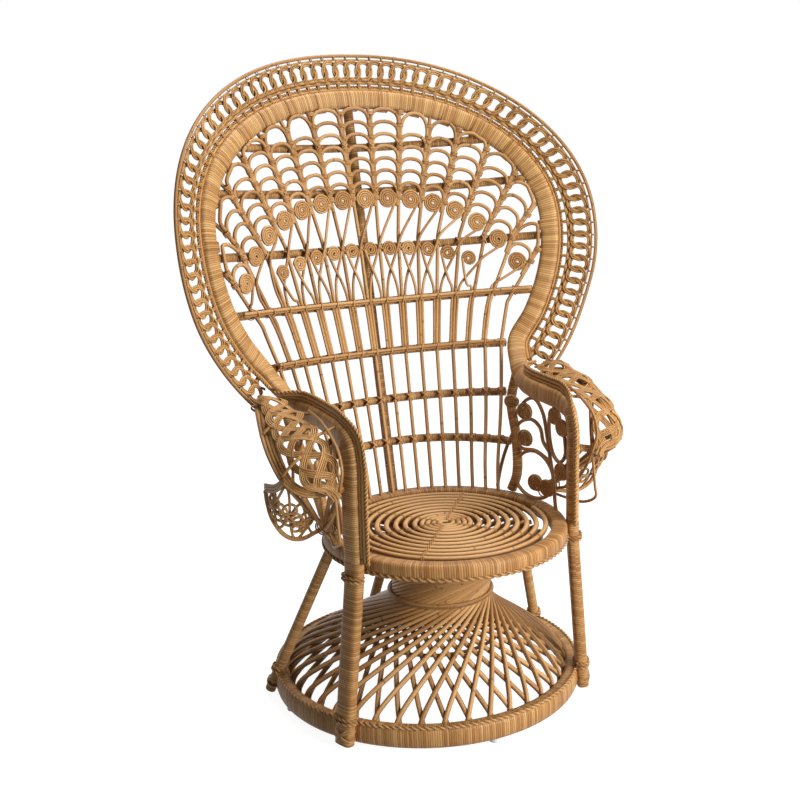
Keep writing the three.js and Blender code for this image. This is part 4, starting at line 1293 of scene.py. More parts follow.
@dataclass
class Skirt:
    """Two crossing families of strands drawn in at a waist, with the hoops that hold them."""

    plan: Plan
    base: BaseRing
    strands: int = 40
    strand: float = 0.0114
    twist_low: float = 70.0
    twist_neck: float = 55.0
    twist_high: float = 40.0
    waist_height: float = 0.26
    waist_backset: float = 0.03
    waist_radius: float = 0.097
    neck_height: float = 0.322
    neck_radius: float = 0.116
    top_radius: float = 0.215
    layer: float = 0.0108
    hoop: float = 0.011
    inner_hoop: float = 0.008
    hoop_step: float = 0.008
    foot_twist: float = 2.0

    def run(self, index: int, turn: float, lift: float) -> np.ndarray:
        """Draws one strand from base ring over the waist to the seat rim.

        Args:
            index: Which strand of its family.
            turn: 1 or -1, the way the family leans.
            lift: How far the family stands outside the other.

        Returns:
            Rows of x, y and z.
        """
        start = index * 360.0 / self.strands
        inside = self.base.radius - self.base.width / 2 - self.plan.clearance - self.strand / 2
        top = self.plan.seat_top - self.plan.rim_height
        base, backset = self.base, self.base.backset
        waist = start + turn * self.twist_low
        neck = waist + turn * self.twist_neck
        rows = [
            polar(inside + self.strand / 2, start - turn * self.foot_twist,
                  base.height - self.strand, backset),
            polar(inside, start, base.high - self.strand / 2 + lift, backset),
            polar(self.waist_radius + lift, waist, self.waist_height, self.waist_backset),
            polar(self.neck_radius + lift, neck, self.neck_height, self.waist_backset / 2),
            polar(self.top_radius, neck + turn * self.twist_high, top - lift),
        ]
        return curve(rows, POLE_STEP)

    def build(self) -> None:
        """Makes both families and their hoops."""
        for name, turn, out in (("inner", -1.0, 0.0), ("outer", 1.0, self.layer)):
            family = Bundle(f"skirt_{name}_strands", Finish.RATTAN)
            for index in range(self.strands):
                path = self.run(index, turn, out)
                outward = unit((path - UP * path[:, 2:]) + np.array([0.0, 0.0, 1e-6]))
                family.strand(path, self.strand, facing=outward)
            family.make(self.plan, f"skirt_{name}")
        for node, diameter in (("waist_hoop", self.hoop), ("inner_hoop", self.inner_hoop)):
            low, high = (np.array(corner) - self.plan.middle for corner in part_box(node))
            radius = (high[0] - low[0]) / 2 - diameter / 2
            ring = Bundle(f"{node}_cane", Finish.RATTAN)
            path = circle(radius, (low[2] + high[2]) / 2, (low[1] + high[1]) / 2, self.hoop_step)
            ring.strand(path, diameter, facing=UP, sides=10, closed=True)
            ring.make(self.plan, node)


@dataclass
class BackFrame:
    """Posts, seven wrapped bars and the rails of two plain canes in front of two of them."""

    plan: Plan
    back: BackSurface
    hoop: Hoop
    bar_heights: tuple = (1.246, 1.151, 1.015, 0.885, 0.759, 0.647, 0.541)
    bar_sags: tuple = (0.015, 0.024, 0.02, 0.015, 0.007, 0.006, 0.0)
    railed: tuple = (3, 4)
    rail: float = 0.012
    rail_canes: tuple = ((0.18, 0.64), (-0.31, 0.38))
    stem: float = 0.008
    neck_post_foot: float = 0.232
    post_shares: tuple = (0.07, 0.2, 0.45, 0.7)
    post_inset: float = 0.004
    post_step: float = 0.008
    post_rows: int = 40
    bar_rows: int = 81
    overlap: float = 0.003
    # Darker tints of the back post and bars: painted shade, as they stand behind the screen.
    painted_shade_tone: tuple = (0.0, 0.35)

    def __post_init__(self) -> None:
        """Works out how far rails and stems stand before the bars."""
        self.screen_lift = self.back.bar / 2 + self.back.lashing_gap + self.stem / 2
        self.rail_lift = self.screen_lift + self.stem / 2 + self.back.lashing_gap / 2 + self.rail / 2
        self.rim_middle = self.plan.seat_top - self.plan.rim_height / 2

    def reach(self, z: float) -> float:
        """Gives half the width between neck posts or across the fan at a height.

        Args:
            z: Height.

        Returns:
            The half width.
        """
        if z < self.hoop.neck_height:
            share = (z - self.rim_middle) / (self.hoop.neck_height - self.rim_middle)
            return self.neck_post_foot + (self.hoop.neck_half_width - self.neck_post_foot) * share
        return self.hoop.reach(z)

    def bar_height(self, k: int, x: np.ndarray | float) -> np.ndarray:
        """Gives the height of a bar, which sags in its middle."""
        share = np.asarray(x) / self.reach(self.bar_heights[k])
        return self.bar_heights[k] - self.bar_sags[k] * (1.0 - share * share)

    def bar_line(self, k: int, lift: float, short: float) -> tuple:
        """Draws a bar or a rail.

        Args:
            k: Which bar, counted from the top.
            lift: Distance in front of the back's surface.
            short: How far its ends stay from the line that it spans to.

        Returns:
            Rows of place and of facing.
        """
        reach = self.reach(self.bar_heights[k]) - short
        x = np.linspace(-reach, reach, self.bar_rows)
        z = self.bar_height(k, x)
        return self.back.point(x, z, lift), self.back.facing(x, z)

    def build(self) -> None:
        """Makes posts, bars and rails."""
        plan, back, hoop = self.plan, self.back, self.hoop
        shares = np.array(self.post_shares)
        z = self.rim_middle + (hoop.neck_height - self.rim_middle) * shares
        x = self.neck_post_foot + (hoop.neck_half_width - self.neck_post_foot) * shares
        end = [[hoop.neck_half_width - self.post_inset, hoop.neck_back, hoop.neck_height - hoop.width / 2]]
        line = curve(np.vstack([back.point(x, z), end]), self.post_step)
        for name, side in SIDES.items():
            plan.pole(f"neck_post_{name}", sided(line, side), back.post, sides=14)
        z = np.linspace(self.rim_middle - plan.rim_height / 4, hoop.top - hoop.width / 2, self.post_rows)
        path = back.point(np.zeros_like(z), z, back.post_lift)
        plan.pole("back_post", path, back.post, tone=self.painted_shade_tone, sides=14)
        for k, height in enumerate(self.bar_heights):
            short = (hoop.width if height > hoop.neck_height else back.post) / 2
            path, facing = self.bar_line(k, 0.0, short - self.overlap)
            plan.pole(f"back_bar_{k + 1}", path, back.bar, tone=self.painted_shade_tone, facing=facing, sides=12)
        for k in self.railed:
            path, facing = self.bar_line(k, self.rail_lift, hoop.width / 2 - self.overlap)
            rail = Bundle(f"front_rail_{k + 1}_cane", Finish.RATTAN)
            for middle, size in self.rail_canes:
                rail.strand(path + UP * self.rail * middle, self.rail * size, facing=facing, sides=9)
            rail.make(plan, f"front_rail_{k + 1}")


@dataclass
class Border:
    """Lace outside the hoop: two woven strands, a chain of overlapping rings and an edge of two strands."""

    plan: Plan
    back: BackSurface
    hoop: Hoop
    side: float = 0.08
    crown: float = 0.099
    foot: float = 0.065
    shoulder: float = 2.25
    end_lead: float = math.radians(1.0)
    edge: float = 0.014
    rings: int = 74
    ring_low: float = 0.27
    ring_high: float = 0.815
    ring_half: float = 0.0202
    ring_cane: float = 0.0056
    ring_step: float = 0.0045
    weave_rows: tuple = (0.205, 0.285)
    weave_cane: float = 0.007
    edge_rows: tuple = ((0.842, 0.004), (0.955, 0.0082))
    tie_low: tuple = (0.118, 0.0112)
    tie_high: tuple = (0.895, 0.0062)
    lift: float = 0.003
    line_rows: int = 600
    ring_rows: int = 37
    ring_square: float = 0.9
    ring_flat: float = 0.8
    weave_flat: float = 0.7
    row_steps: int = 8
    tie_apart: float = 0.0018
    tie_deep: float = 0.0042
    tie_cane: tuple = (0.0036, 0.0014)
    probe: float = 0.002

    def __post_init__(self) -> None:
        """Measures the border's length and tabulates its inner and outer lines."""
        end = self.end_lead - self.hoop.neck_angle
        angle = np.linspace(end, math.pi / 2, self.line_rows)
        inner = np.stack(self.hoop.fan(angle), axis=1)
        outer = np.stack(self.hoop.oval(angle, self.hoop.half_width + self.side, self.hoop.top + self.crown,
                                        self.hoop.drop + self.foot, self.shoulder), axis=1)
        away = unit(outer - inner)
        inner = inner + away * self.hoop.width / 2
        outer = outer + away * self.edge / 2
        flip = np.array([-1.0, 1.0])
        self.inner = np.vstack([inner, inner[-2::-1] * flip])
        self.outer = np.vstack([outer, outer[-2::-1] * flip])
        self.marks = lengths((self.inner + self.outer) / 2)
        self.length = self.marks[-1]

    def place(self, along: np.ndarray, out: np.ndarray | float, lift: np.ndarray | float) -> tuple:
        """Gives points of the border.

        Args:
            along: Length from the right end.
            out: Share of the way from the hoop to the border's outer edge.
            lift: Distance in front of the back's surface.

        Returns:
            Rows of place and of facing.
        """
        along, out = np.broadcast_arrays(np.asarray(along, dtype=float), np.asarray(out, dtype=float))
        inner, outer = (sample(line, self.marks, along) for line in (self.inner, self.outer))
        x, z = np.moveaxis(inner + (outer - inner) * out[..., None], -1, 0)
        return self.back.point(x, z, lift), self.back.facing(x, z)

    def run(self, bundle: Bundle, along: np.ndarray, out: np.ndarray | float, lift: np.ndarray | float,
            width: float, depth: float, sides: int = 6, closed: bool = False) -> None:
        """Lays one strand on the border.

        Args:
            bundle: Bundle that takes it.
            along: Lengths from the right end.
            out: Shares of the way out.
            lift: Distance in front of the surface.
            width: Width of the strand.
            depth: Its thickness.
            sides: Corners of its section.
            closed: Whether it ends where it starts.
        """
        path, facing = self.place(along, out, lift)
        bundle.strand(path, width, depth, facing, sides=sides, closed=closed)

    def build(self) -> None:
        """Makes rings, woven strands and edge."""
        pitch = self.length / self.rings
        turn = np.linspace(0.0, TURN, self.ring_rows)
        tall = (self.ring_high - self.ring_low) / 2
        span = self.crown - self.hoop.width / 2
        wide = bulge(np.cos(turn), self.ring_square)
        lift = self.lift * np.sin(2 * turn)
        for parity, node in enumerate(("border_lace_front", "border_lace_back")):
            chain = Bundle(f"{node}_rings", Finish.LACE)
            for index in range(parity, self.rings, 2):
                start = (index + 0.5) * pitch
                for inset in (0.0, self.ring_step):
                    along = np.clip(start + (self.ring_half - inset) * wide, 0.0, self.length)
                    out = self.ring_low + tall + (tall - inset / span) * np.sin(turn)
                    self.run(chain, along, out, lift, self.ring_cane, self.ring_cane * self.ring_flat,
                             closed=True)
            chain.make(self.plan, node)
        self._rows("border_strand", pitch)
        self._rows("border_edge", pitch)

    def _rows(self, node: str, pitch: float) -> None:
        """Lays the strands inside or outside the rings and ties them between each two rings.

        Args:
            node: Which rows.
            pitch: Length from one ring to the next.
        """
        rows = Bundle(f"{node}_rows", Finish.LACE)
        plain = np.linspace(0.0, self.length, self.rings * self.row_steps + 1)
        if node == "border_edge":
            for out, width in self.edge_rows:
                self.run(rows, plain, out, 0.0, width, width, sides=8)
            (out, reach), shifts = self.tie_high, (0.0,)
        else:
            for index, out in enumerate(self.weave_rows):
                weave = self.lift * np.cos(TURN * plain / pitch + math.pi * index)
                self.run(rows, plain, out, weave, self.weave_cane, self.weave_cane * self.weave_flat)
            (out, reach), shifts = self.tie_low, (-self.tie_apart, self.tie_apart)
        for index in range(1, self.rings):
            for shift in shifts:
                start = index * pitch + shift
                places, facings = self.place(np.array([start, start + self.probe]), out, 0.0)
                across = np.cross(unit(places[1] - places[0]), facings[0])
                rows.loop(places[0], across * reach, facings[0] * self.tie_deep, *self.tie_cane)
        rows.make(self.plan, node)


@dataclass
class FeatherScreen:
    """Sixteen stems with arches between them and two rows of scrolls, whose tails cross below."""

    plan: Plan
    back: BackSurface
    hoop: Hoop
    frame: BackFrame
    stems: int = 16
    pitch_seat: float = 0.035
    pitch_waist: float = 0.0405
    pitch_crown: float = 0.0505
    pitch_top: float = 0.082
    flare: float = 0.027
    flare_height: float = 0.852
    flare_place: float = 3.5
    stem: float = 0.0088
    tuck: float = 0.035
    arch: float = 0.009
    arch_gap: float = 0.014
    arch_step: float = 0.0283
    arch_rise: float = 0.025
    arch_foot: float = 0.03
    arch_lean: float = 0.7
    tie: tuple = (0.0086, 0.0068)
    tie_turns: int = 3
    tie_cane: float = 0.0034
    tie_flat: float = 0.4
    tie_pack: float = 0.9
    stem_rows: int = 120
    stem_over: float = 0.008
    tuck_share: float = 0.9
    arch_rows: int = 17
    arch_square: float = 0.85
    arch_start: tuple = (-0.01, -0.003)
    arch_layer: float = 0.0004
    foot_rows: int = 7
    probe: float = 0.002
    slope_probe: float = 0.01
    sleeve: float = 0.003
    sleeve_rows: tuple = (3, 4)
    lash_gap: float = 0.0032
    lash_reach: float = 0.0125
    lash_cane: tuple = (0.0042, 0.0015)
    rail_gap: float = 0.0014
    rail_lean: float = 0.35
    rail_deep: float = 0.32
    rail_cane: tuple = (0.0042, 0.0014)
    large: float = 0.045
    large_height: float = 1.108
    large_drop: float = 0.16
    large_columns: int = 7
    small: float = 0.034
    small_height: float = 0.991
    small_drop: float = 0.032
    small_columns: int = 5
    fall: float = 2.7
    scroll_cane: float = 0.0057
    tail_cane: float = 0.0066
    scroll_pitch: float = 0.0052
    scroll_start: float = 0.0024
    scroll_deep: float = 1.3
    scroll_lift: float = 0.002
    scroll_rows: int = 24

    # Bends of a large scroll's tail: place from its column, share of the way to the knee, lift.
    neck_bends: tuple = ((0.22, 0.25, 0.0), (-0.44, 1.0, 0.0066))

    # Below the knee: share of the way to the rail and lift, then the places of tails that cross or stay.
    knee_bends: tuple = ((0.2, 0.003), (0.64, -0.005))
    tail_crossing: tuple = (-0.62, -1.08, -1.3, -1.34)
    tail_beside: tuple = (-0.57, -0.62, -0.66, -0.66)

    # Bends of a small scroll's tail: place from its column, drop in scroll sizes, lift.
    small_bends: tuple = ((-0.14, 1.0, 0.002), (0.1, 1.9, 0.002))
    small_tail: tuple = (0.29, 0.34)

    # Heights of every tail's last bends over the upper and the lower railed bar.
    tail_levels: tuple = (0.008, -0.05, -0.004)
    tail_layer: float = -0.0015

    def pitch(self, z: np.ndarray | float) -> np.ndarray:
        """Gives the arc length from one stem to the next at a height."""
        heights = [self.plan.seat_top, self.frame.bar_heights[4], self.frame.bar_heights[2], self.hoop.top]
        return np.interp(z, heights, [self.pitch_seat, self.pitch_waist, self.pitch_crown, self.pitch_top])

    def arc(self, place: float, z: np.ndarray | float) -> np.ndarray:
        """Gives a stem's arc length from the middle. The outer stems flare out to the hoop.

        Args:
            place: Where the stem stands, counted from the middle.
            z: Height.

        Returns:
            The arc length at each height.
        """
        outer = max(abs(place) - self.flare_place, 0.0)
        flare = self.flare * outer * outer * np.maximum(np.asarray(z) - self.flare_height, 0.0)
        return place * self.pitch(z) + math.copysign(1.0, place) * flare

    def limit(self, z: np.ndarray) -> np.ndarray:
        """Gives the arc length from the middle to the hoop's inner edge.

        Args:
            z: Heights.

        Returns:
            The arc length at each height.
        """
        hoop, half = self.hoop, self.hoop.width / 2
        edge, level = hoop.oval(np.linspace(0.0, math.pi / 2, 90), hoop.half_width - half,
                                hoop.top - half, hoop.drop, hoop.shoulder)
        below = np.array([self.frame.reach(float(height)) for height in z]) - half
        reach = np.where(z > hoop.wide_height, np.interp(z, level, edge, right=0.0), below)
        bow = self.back.bow_radius(z)
        return bow * np.arcsin(np.clip(reach / bow, 0.0, 1.0))

    def top(self, place: float) -> float:
        """Gives the height at which a stem meets the hoop.

        Args:
            place: Where the stem stands, counted from the middle.

        Returns:
            The height.
        """
        z = np.arange(self.frame.bar_heights[3], self.hoop.top - self.hoop.width / 2, PROBE)
        inside = np.abs(self.arc(place, z)) < self.limit(z)
        return float(z[inside][-1])

    def spot(self, arc: np.ndarray, z: np.ndarray, lift: np.ndarray | float) -> tuple:
        """Gives points of the screen.

        Args:
            arc: Arc length from the middle of the back.
            z: Height.
            lift: Distance in front of the stems' own layer.

        Returns:
            Rows of place and of facing.
        """
        x = self.back.across(arc, z)
        return self.back.point(x, z, self.frame.screen_lift + np.asarray(lift)), self.back.facing(x, z)

    def scroll_height(self, column: float, large: bool) -> float:
        """Gives the height of the scroll in a column. Both rows fall away to the sides.

        Args:
            column: Middle between two stems, counted from the middle of the back.
            large: Whether the scroll belongs to the upper row.

        Returns:
            The height of its middle.
        """
        if large:
            return self.large_height - self.large_drop * (abs(column) / self.large_columns) ** self.fall
        return self.small_height - self.small_drop * (abs(column) / self.small_columns) ** self.fall

    def build(self) -> None:
        """Makes each stem with its arches, scrolls and ties."""
        sleeves = Bundle("hoop_lashings", Finish.WRAPPED)
        for k in range(self.stems):
            place = k - (self.stems - 1) / 2
            feather = Bundle(f"feather_{k + 1}_cane", Finish.RATTAN)
            self._stem(feather, place)
            side = math.copysign(1.0, place)
            for way in ((side, -side) if k == self.stems // 2 else (side,)):
                column = place + way / 2
                self._column(feather, column)
                if abs(column) <= self.large_columns:
                    self._sleeve(sleeves, column)
            self._lashings(feather, place)
            feather.make(self.plan, f"feather_{k + 1}")
        sleeves.make(self.plan)

    def _stem(self, feather: Bundle, place: float) -> None:
        """Draws a stem from the seat into the hoop and binds it where the arches spring.

        Args:
            feather: Bundle that takes it.
            place: Where the stem stands, counted from the middle.
        """
        top = self.top(place) + self.stem_over
        z = np.linspace(self.plan.seat_top - self.plan.rim_height / 4, top, self.stem_rows)
        sunk = np.clip((z - top + self.tuck) / self.tuck, 0.0, 1.0) * self.frame.screen_lift * self.tuck_share
        path, facing = self.spot(self.arc(place, z), z, -sunk)
        feather.strand(path, self.stem, facing=facing)
        inner = max(abs(place) - 0.5, 0.0)
        low = self.scroll_height(min(inner, self.large_columns), True) + self.arch_gap - self.arch_foot / 2
        for level in np.arange(low, top - self.tie_cane * self.tie_turns, self.arch_step):
            for turn in range(self.tie_turns):
                self._tie(feather, place, level + turn * self.tie_cane * self.tie_pack)

    def _stance(self, place: float, z: float, lift: float) -> tuple:
        """Gives a point of a stem with the stem's own directions.

        Args:
            place: Where the stem stands, counted from the middle.
            z: Height.
            lift: Distance in front of the stems' own layer.

        Returns:
            The point and the unit vectors along the stem, across it and to the front.
        """
        levels = np.array([z, z + self.probe])
        (middle, above), (facing, _) = self.spot(self.arc(place, levels), levels, lift)
        along = unit(above - middle)
        return middle, along, np.cross(along, facing), facing

    def _tie(self, feather: Bundle, place: float, z: float) -> None:
        """Winds one turn of cane round a stem and the arch beside it.

        Args:
            feather: Bundle that takes it.
            place: Where the stem stands.
            z: Height of the turn.
        """
        middle, _, across, facing = self._stance(place, z, 0.0)
        wide, deep = self.tie
        feather.loop(middle, across * wide, facing * deep, self.tie_cane, self.tie_cane * self.tie_flat)

    def _sleeve(self, sleeves: Bundle, column: float) -> None:
        """Winds the hoop more thickly where the highest arch of a column is tied to it.

        Args:
            sleeves: Bundle that takes the winding.
            column: Middle between two stems, counted from the middle of the back.
        """
        hoop, more = self.hoop, self.sleeve
        level = np.array([self.top(column)])
        end, _ = self.spot(self.arc(column, level), level, 0.0)
        near = int(np.argmin(np.linalg.norm(hoop.path - end[0], axis=1)))
        before, after = self.sleeve_rows
        part = slice(max(near - before, 0), near + after)
        sleeves.strand(hoop.path[part] - hoop.outward[part] * more, hoop.width + 2 * more, hoop.depth + more,
                       hoop.facings[part], sides=hoop.corners, square=hoop.square, wrap=Wrap())

    def _column(self, feather: Bundle, column: float) -> None:
        """Fills the space between two stems.

        Args:
            feather: Bundle that takes it.
            column: Middle between the two stems, counted from the middle of the back.
        """
        low = self.scroll_height(min(abs(column), self.large_columns), True)
        if abs(column) <= self.large_columns:
            self._scroll(feather, column, low, True)
        if abs(column) <= self.small_columns:
            self._scroll(feather, column, self.scroll_height(column, False), False)
        levels = np.arange(low + self.arch_gap, self.hoop.top, self.arch_step)
        crowns = levels + self.arch_rise - self.arch / 2
        reach = np.array([abs(self._between(column, crown)) for crown in crowns])
        levels = levels[reach < self.limit(crowns)]
        for z in levels:
            rise = self.arch_rise
            if z == levels[-1] and abs(column) <= self.large_columns:
                rise = max(self.top(column) - z, rise)
            self._arch(feather, column, z, rise)

    def _arch(self, feather: Bundle, column: float, z: float, crown: float) -> None:
        """Bends one arch, which springs from one stem and runs down along the next.

        Args:
            feather: Bundle that takes it.
            column: Middle between the two stems.
            z: Height at which the arch springs.
            crown: Its rise. The highest arch of a column reaches up to the hoop.
        """
        turn = np.linspace(0.0, math.pi, self.arch_rows)
        foot = np.linspace(self.arch_start[-1], -self.arch_foot, self.foot_rows)
        swing = bulge(np.cos(turn), self.arch_square)
        share = np.concatenate([[-1.0, -1.0], -swing, np.ones(self.foot_rows)])
        rise = np.concatenate([self.arch_start, np.sin(turn) * crown, foot])
        width = self._between(column + 0.5, z) - self._between(column - 0.5, z)
        step = self.slope_probe
        slope = (self._between(column, z + step) - self._between(column, z - step)) / (2 * step)
        heights = z + rise - self.arch_lean * slope * share * width / 2
        left = np.array([self._between(column - 0.5, level) for level in heights]) + self.frame.stem / 4
        right = np.array([self._between(column + 0.5, level) for level in heights]) - self.frame.stem / 2
        limit = self.limit(np.minimum(heights, z + crown - self.arch / 2))
        arc = np.clip((left + right) / 2 + share * (right - left) / 2, -limit, limit)
        path, facing = self.spot(arc, heights, self.arch_layer)
        feather.strand(even(path, FINE_STEP), self.arch, facing=facing[0], sides=7)

    def _scroll(self, feather: Bundle, column: float, z: float, large: bool) -> None:
        """Coils one scroll and runs its tail down to the lower railed bar.

        Args:
            feather: Bundle that takes it.
            column: Middle between the two stems.
            z: Height of the scroll's middle.
            large: Whether it belongs to the upper row.
        """
        size = self.large if large else self.small
        turns = (size / 2 - self.scroll_start) / self.scroll_pitch
        angle = np.linspace(0.0, TURN * turns, int(turns * self.scroll_rows))
        radius = self.scroll_start + self.scroll_pitch * angle / TURN
        swing = angle - angle[-1] + (0.0 if large else math.pi)
        arc = self._between(column, z) + radius * np.cos(swing)
        height = z + radius * np.sin(swing) * (-1.0 if large else 1.0)
        crown, upper, lower = self.frame.bar_heights[2:5]
        if large:
            knee = min(crown, z - size)
            crosses = abs(column - 1.0) <= self.small_columns
            *places, low, last = self.tail_crossing if crosses else self.tail_beside
            points = [(share, z - drop * (z - knee), lift) for share, drop, lift in self.neck_bends]
            points += [(share, knee - drop * (knee - upper), lift)
                       for share, (drop, lift) in zip(places, self.knee_bends)]
        else:
            low, last = self.small_tail
            points = [(share, z - drop * size, lift) for share, drop, lift in self.small_bends]
        for share, bar, above in zip((low, last, last), (upper, upper, lower), self.tail_levels):
            points.append((share, bar + above, self.tail_layer))
        tail = [[self._between(column + share, level), level, lift] for share, level, lift in points]
        path, facing = self.spot(arc, height, self.scroll_lift)
        feather.strand(path, self.scroll_cane, self.scroll_cane * self.scroll_deep, facing=facing, sides=7)
        line = curve(np.vstack([[arc[-1], height[-1], self.scroll_lift], tail]), CANE_STEP)
        path, facing = self.spot(line[:, 0], line[:, 1], line[:, 2] + self.scroll_lift)
        feather.strand(path, self.tail_cane, facing=facing, sides=7)

    def _between(self, place: float, z: float) -> float:
        """Gives the arc length of a place between stems at a height.

        Args:
            place: The place, counted in stems from the middle.
            z: Height.

        Returns:
            The arc length.
        """
        low = math.floor(place - 0.5) + 0.5
        share = place - low
        limit = (self.stems - 1) / 2
        first, second = (min(max(edge, -limit), limit) for edge in (low, low + 1.0))
        return float(self.arc(first, z)) * (1.0 - share) + float(self.arc(second, z)) * share

    def _lashings(self, feather: Bundle, place: float) -> None:
        """Ties a stem to each bar with crossed cane, and to each rail with one turn.

        Args:
            feather: Bundle that takes them.
            place: Where the stem stands, counted from the middle.
        """
        frame = self.frame
        top = self.top(place)
        half = frame.screen_lift / 2
        deep = half + frame.stem / 2 + self.lash_gap
        for k, level in enumerate(frame.bar_heights):
            z = float(frame.bar_height(k, self.back.across(self.arc(place, level), level)))
            if z > top - self.hoop.width:
                continue
            middle, along, across, facing = self._stance(place, z, -half)
            for lean in (-1.0, 1.0):
                reach = unit(across + lean * along) * self.lash_reach
                feather.loop(middle, reach, facing * deep, *self.lash_cane)
            if k in frame.railed:
                rail = middle + facing * (frame.rail_lift - half)
                reach = unit(along + self.rail_lean * across) * (frame.rail / 2 + self.rail_gap)
                rise = facing * (frame.rail * self.rail_deep + self.rail_gap)
                feather.loop(rail, reach, rise, *self.rail_cane)


@dataclass
class Arm:
    """Scroll panel inside one arm, a rolled lace outside it and a leaf of lace below.

    Everything is drawn for the right arm and mirrored where it is laid on the left one.
    """

    plan: Plan
    hoop: Hoop
    frame: BackFrame
    border: Border
    name: str
    side: float
    panel_cane: float = 0.009
    panel_scroll: float = 0.049
    panel_inset: float = 0.004
    # Darker tints of the panel's strands: painted shade, as the panel faces away from the lamps.
    panel_tone: tuple = (0.0, 0.6)
    bar_scroll: float = 0.042
    scroll_cane: float = 0.0058
    scroll_pack: float = 0.96
    scroll_deep: float = 1.6
    scroll_rows: int = 22
    scroll_turns: tuple = ((-0.07, 0.11), (6.0, 26.0))
    scroll_tuck: float = 0.7
    scroll_tone: tuple = (0.6, 1.0)
    rim_canes: int = 4
    rim_cane: float = 0.0115
    rim_pack: float = 0.92
    rim_taper: float = 0.4
    rim_start: float = 0.9
    rim_ties: tuple = (4, 6, 8, 10)
    rim_tie_gap: float = 0.002
    rim_tie_cane: tuple = (0.0072, 0.003)
    roll_swell: float = 0.024
    roll_start: float = 0.52
    roll_end: float = 0.15
    roll_rim: tuple = (0.04, 0.9)
    ribbons: int = 4
    ribbon_rows: int = 110
    ribbon_waves: float = 2.2
    ribbon_middle: float = 0.43
    ribbon_swing: float = 0.25
    ribbon_close: float = 0.16
    ribbon_least: float = 0.25
    ribbon_canes: int = 4
    ribbon_cane: float = 0.0041
    ribbon_lift: float = 0.0045
    ribbon_probe: tuple = (0.02, 0.01)
    lace_tie_rows: int = 12
    outward: tuple = (0.6, -0.8, 0.0)
    wing_step: float = 0.005
    wing_cane: float = 0.0095
    # Darker tints of the leaf of lace: painted shade, as it faces away from the lamps.
    wing_tone: tuple = (0.0, 0.5)
    leaf_rows: int = 90
    leaf_cane: float = 0.006
    leaf_waves: float = 2.0
    leaf_swing: float = 0.48
    leaf_ends: tuple = (5, -8)
    rosettes: tuple = ((0.24, 0.4, 0.022), (0.46, 0.45, 0.034), (0.68, 0.5, 0.026))
    rosette_rows: int = 121
    rosette_petals: int = 5
    rosette_loop: float = 0.56
    brow_cane: float = 0.0068
    brow_lifts: tuple = (0.0, 0.0062, 0.0124)
    brow_sag: float = 0.008
    funnel_canes: int = 5
    funnel_cane: float = 0.0115
    funnel_span: tuple = (0.72, 0.98)
    funnel_taper: float = 0.6
    funnel_step: float = 0.02
    loop_cane: float = 0.0068

    # Strands of the panel and the middles of its scrolls, as distance behind the seat's middle and height.
    strands: tuple = (
        ((0.165, 0.6), (0.12, 0.645), (0.075, 0.657), (0.03, 0.632), (0.006, 0.59), (-0.012, 0.55),
         (-0.036, 0.495), (-0.05, 0.435), (-0.056, 0.42)),
        ((-0.02, 0.657), (-0.002, 0.632), (-0.008, 0.585), (-0.03, 0.55), (-0.058, 0.54), (-0.08, 0.562),
         (-0.074, 0.608)),
        ((0.176, 0.425), (0.178, 0.46), (0.177, 0.5), (0.167, 0.545), (0.137, 0.587), (0.08, 0.607),
         (0.036, 0.595), (0.02, 0.57), (-0.01, 0.553)),
        ((0.14, 0.535), (0.1, 0.533), (0.05, 0.541), (0.006, 0.536), (-0.02, 0.53)),
    )
    loop_middle: tuple = (0.042, 0.486)
    loop_half: tuple = (0.08, 0.053)
    loop_rows: int = 49
    scrolls: tuple = ((0.117, 0.619), (-0.031, 0.64), (-0.066, 0.621), (0.099, 0.559), (0.028, 0.47),
                      (-0.017, 0.469), (-0.069, 0.521))

    # Canes that tie the lace to band and rim, as share of the way to the front and span from band to rim.
    lace_ties: tuple = ((0.1, 0.5, 0.95), (0.3, -0.05, 0.3), (0.38, 0.5, 0.95), (0.62, -0.05, 0.3),
                        (0.68, 0.5, 0.95))

    # Bends of the right arm's strands, as x, y and height about the seat's middle.
    bar_end: tuple = (0.2575, 0.157, 0.638)
    root: tuple = (0.276, 0.03, 0.45)
    rim_bends: tuple = ((0.392, 0.08, 0.706), (0.408, 0.0, 0.67), (0.41, -0.055, 0.636), (0.4, -0.1, 0.602),
                        (0.372, -0.116, 0.58), (0.33, -0.118, 0.572), (0.294, -0.116, 0.577),
                        (0.272, -0.108, 0.582))
    belly_bends: tuple = ((0.406, 0.01, 0.56), (0.404, 0.005, 0.53), (0.398, -0.002, 0.5),
                          (0.38, -0.008, 0.468), (0.36, -0.005, 0.452), (0.335, 0.0, 0.445),
                          (0.3, 0.015, 0.448))
    strut_bends: tuple = ((0.378, -0.012, 0.66), (0.361, -0.036, 0.62), (0.361, -0.038, 0.59),
                          (0.363, -0.042, 0.56))
    drop_bends: tuple = ((0.298, 0.025, 0.713), (0.298, -0.043, 0.706), (0.298, -0.099, 0.688),
                         (0.298, -0.141, 0.662), (0.298, -0.155, 0.628), (0.298, -0.14, 0.588),
                         (0.298, -0.108, 0.535), (0.295, -0.056, 0.482))
    hook_bends: tuple = ((0.304, -0.117, 0.671), (0.304, -0.122, 0.607), (0.304, -0.131, 0.553),
                         (0.304, -0.14, 0.499), (0.304, -0.144, 0.479), (0.3, -0.1, 0.453),
                         (0.285, -0.04, 0.45))

    # Turns of cane at the root: how many, from one to the next, half axes and section.
    root_turns: int = 4
    root_step: tuple = (0.0, -0.012, 0.006)
    root_reach: tuple = (0.017, 0.0, 0.004)
    root_rise: tuple = (0.0, 0.006, 0.015)
    root_cane: tuple = (0.006, 0.003)

    def build(self) -> None:
        """Makes panel, roll and leaf."""
        self._panel()
        self._roll()
        self._wing()

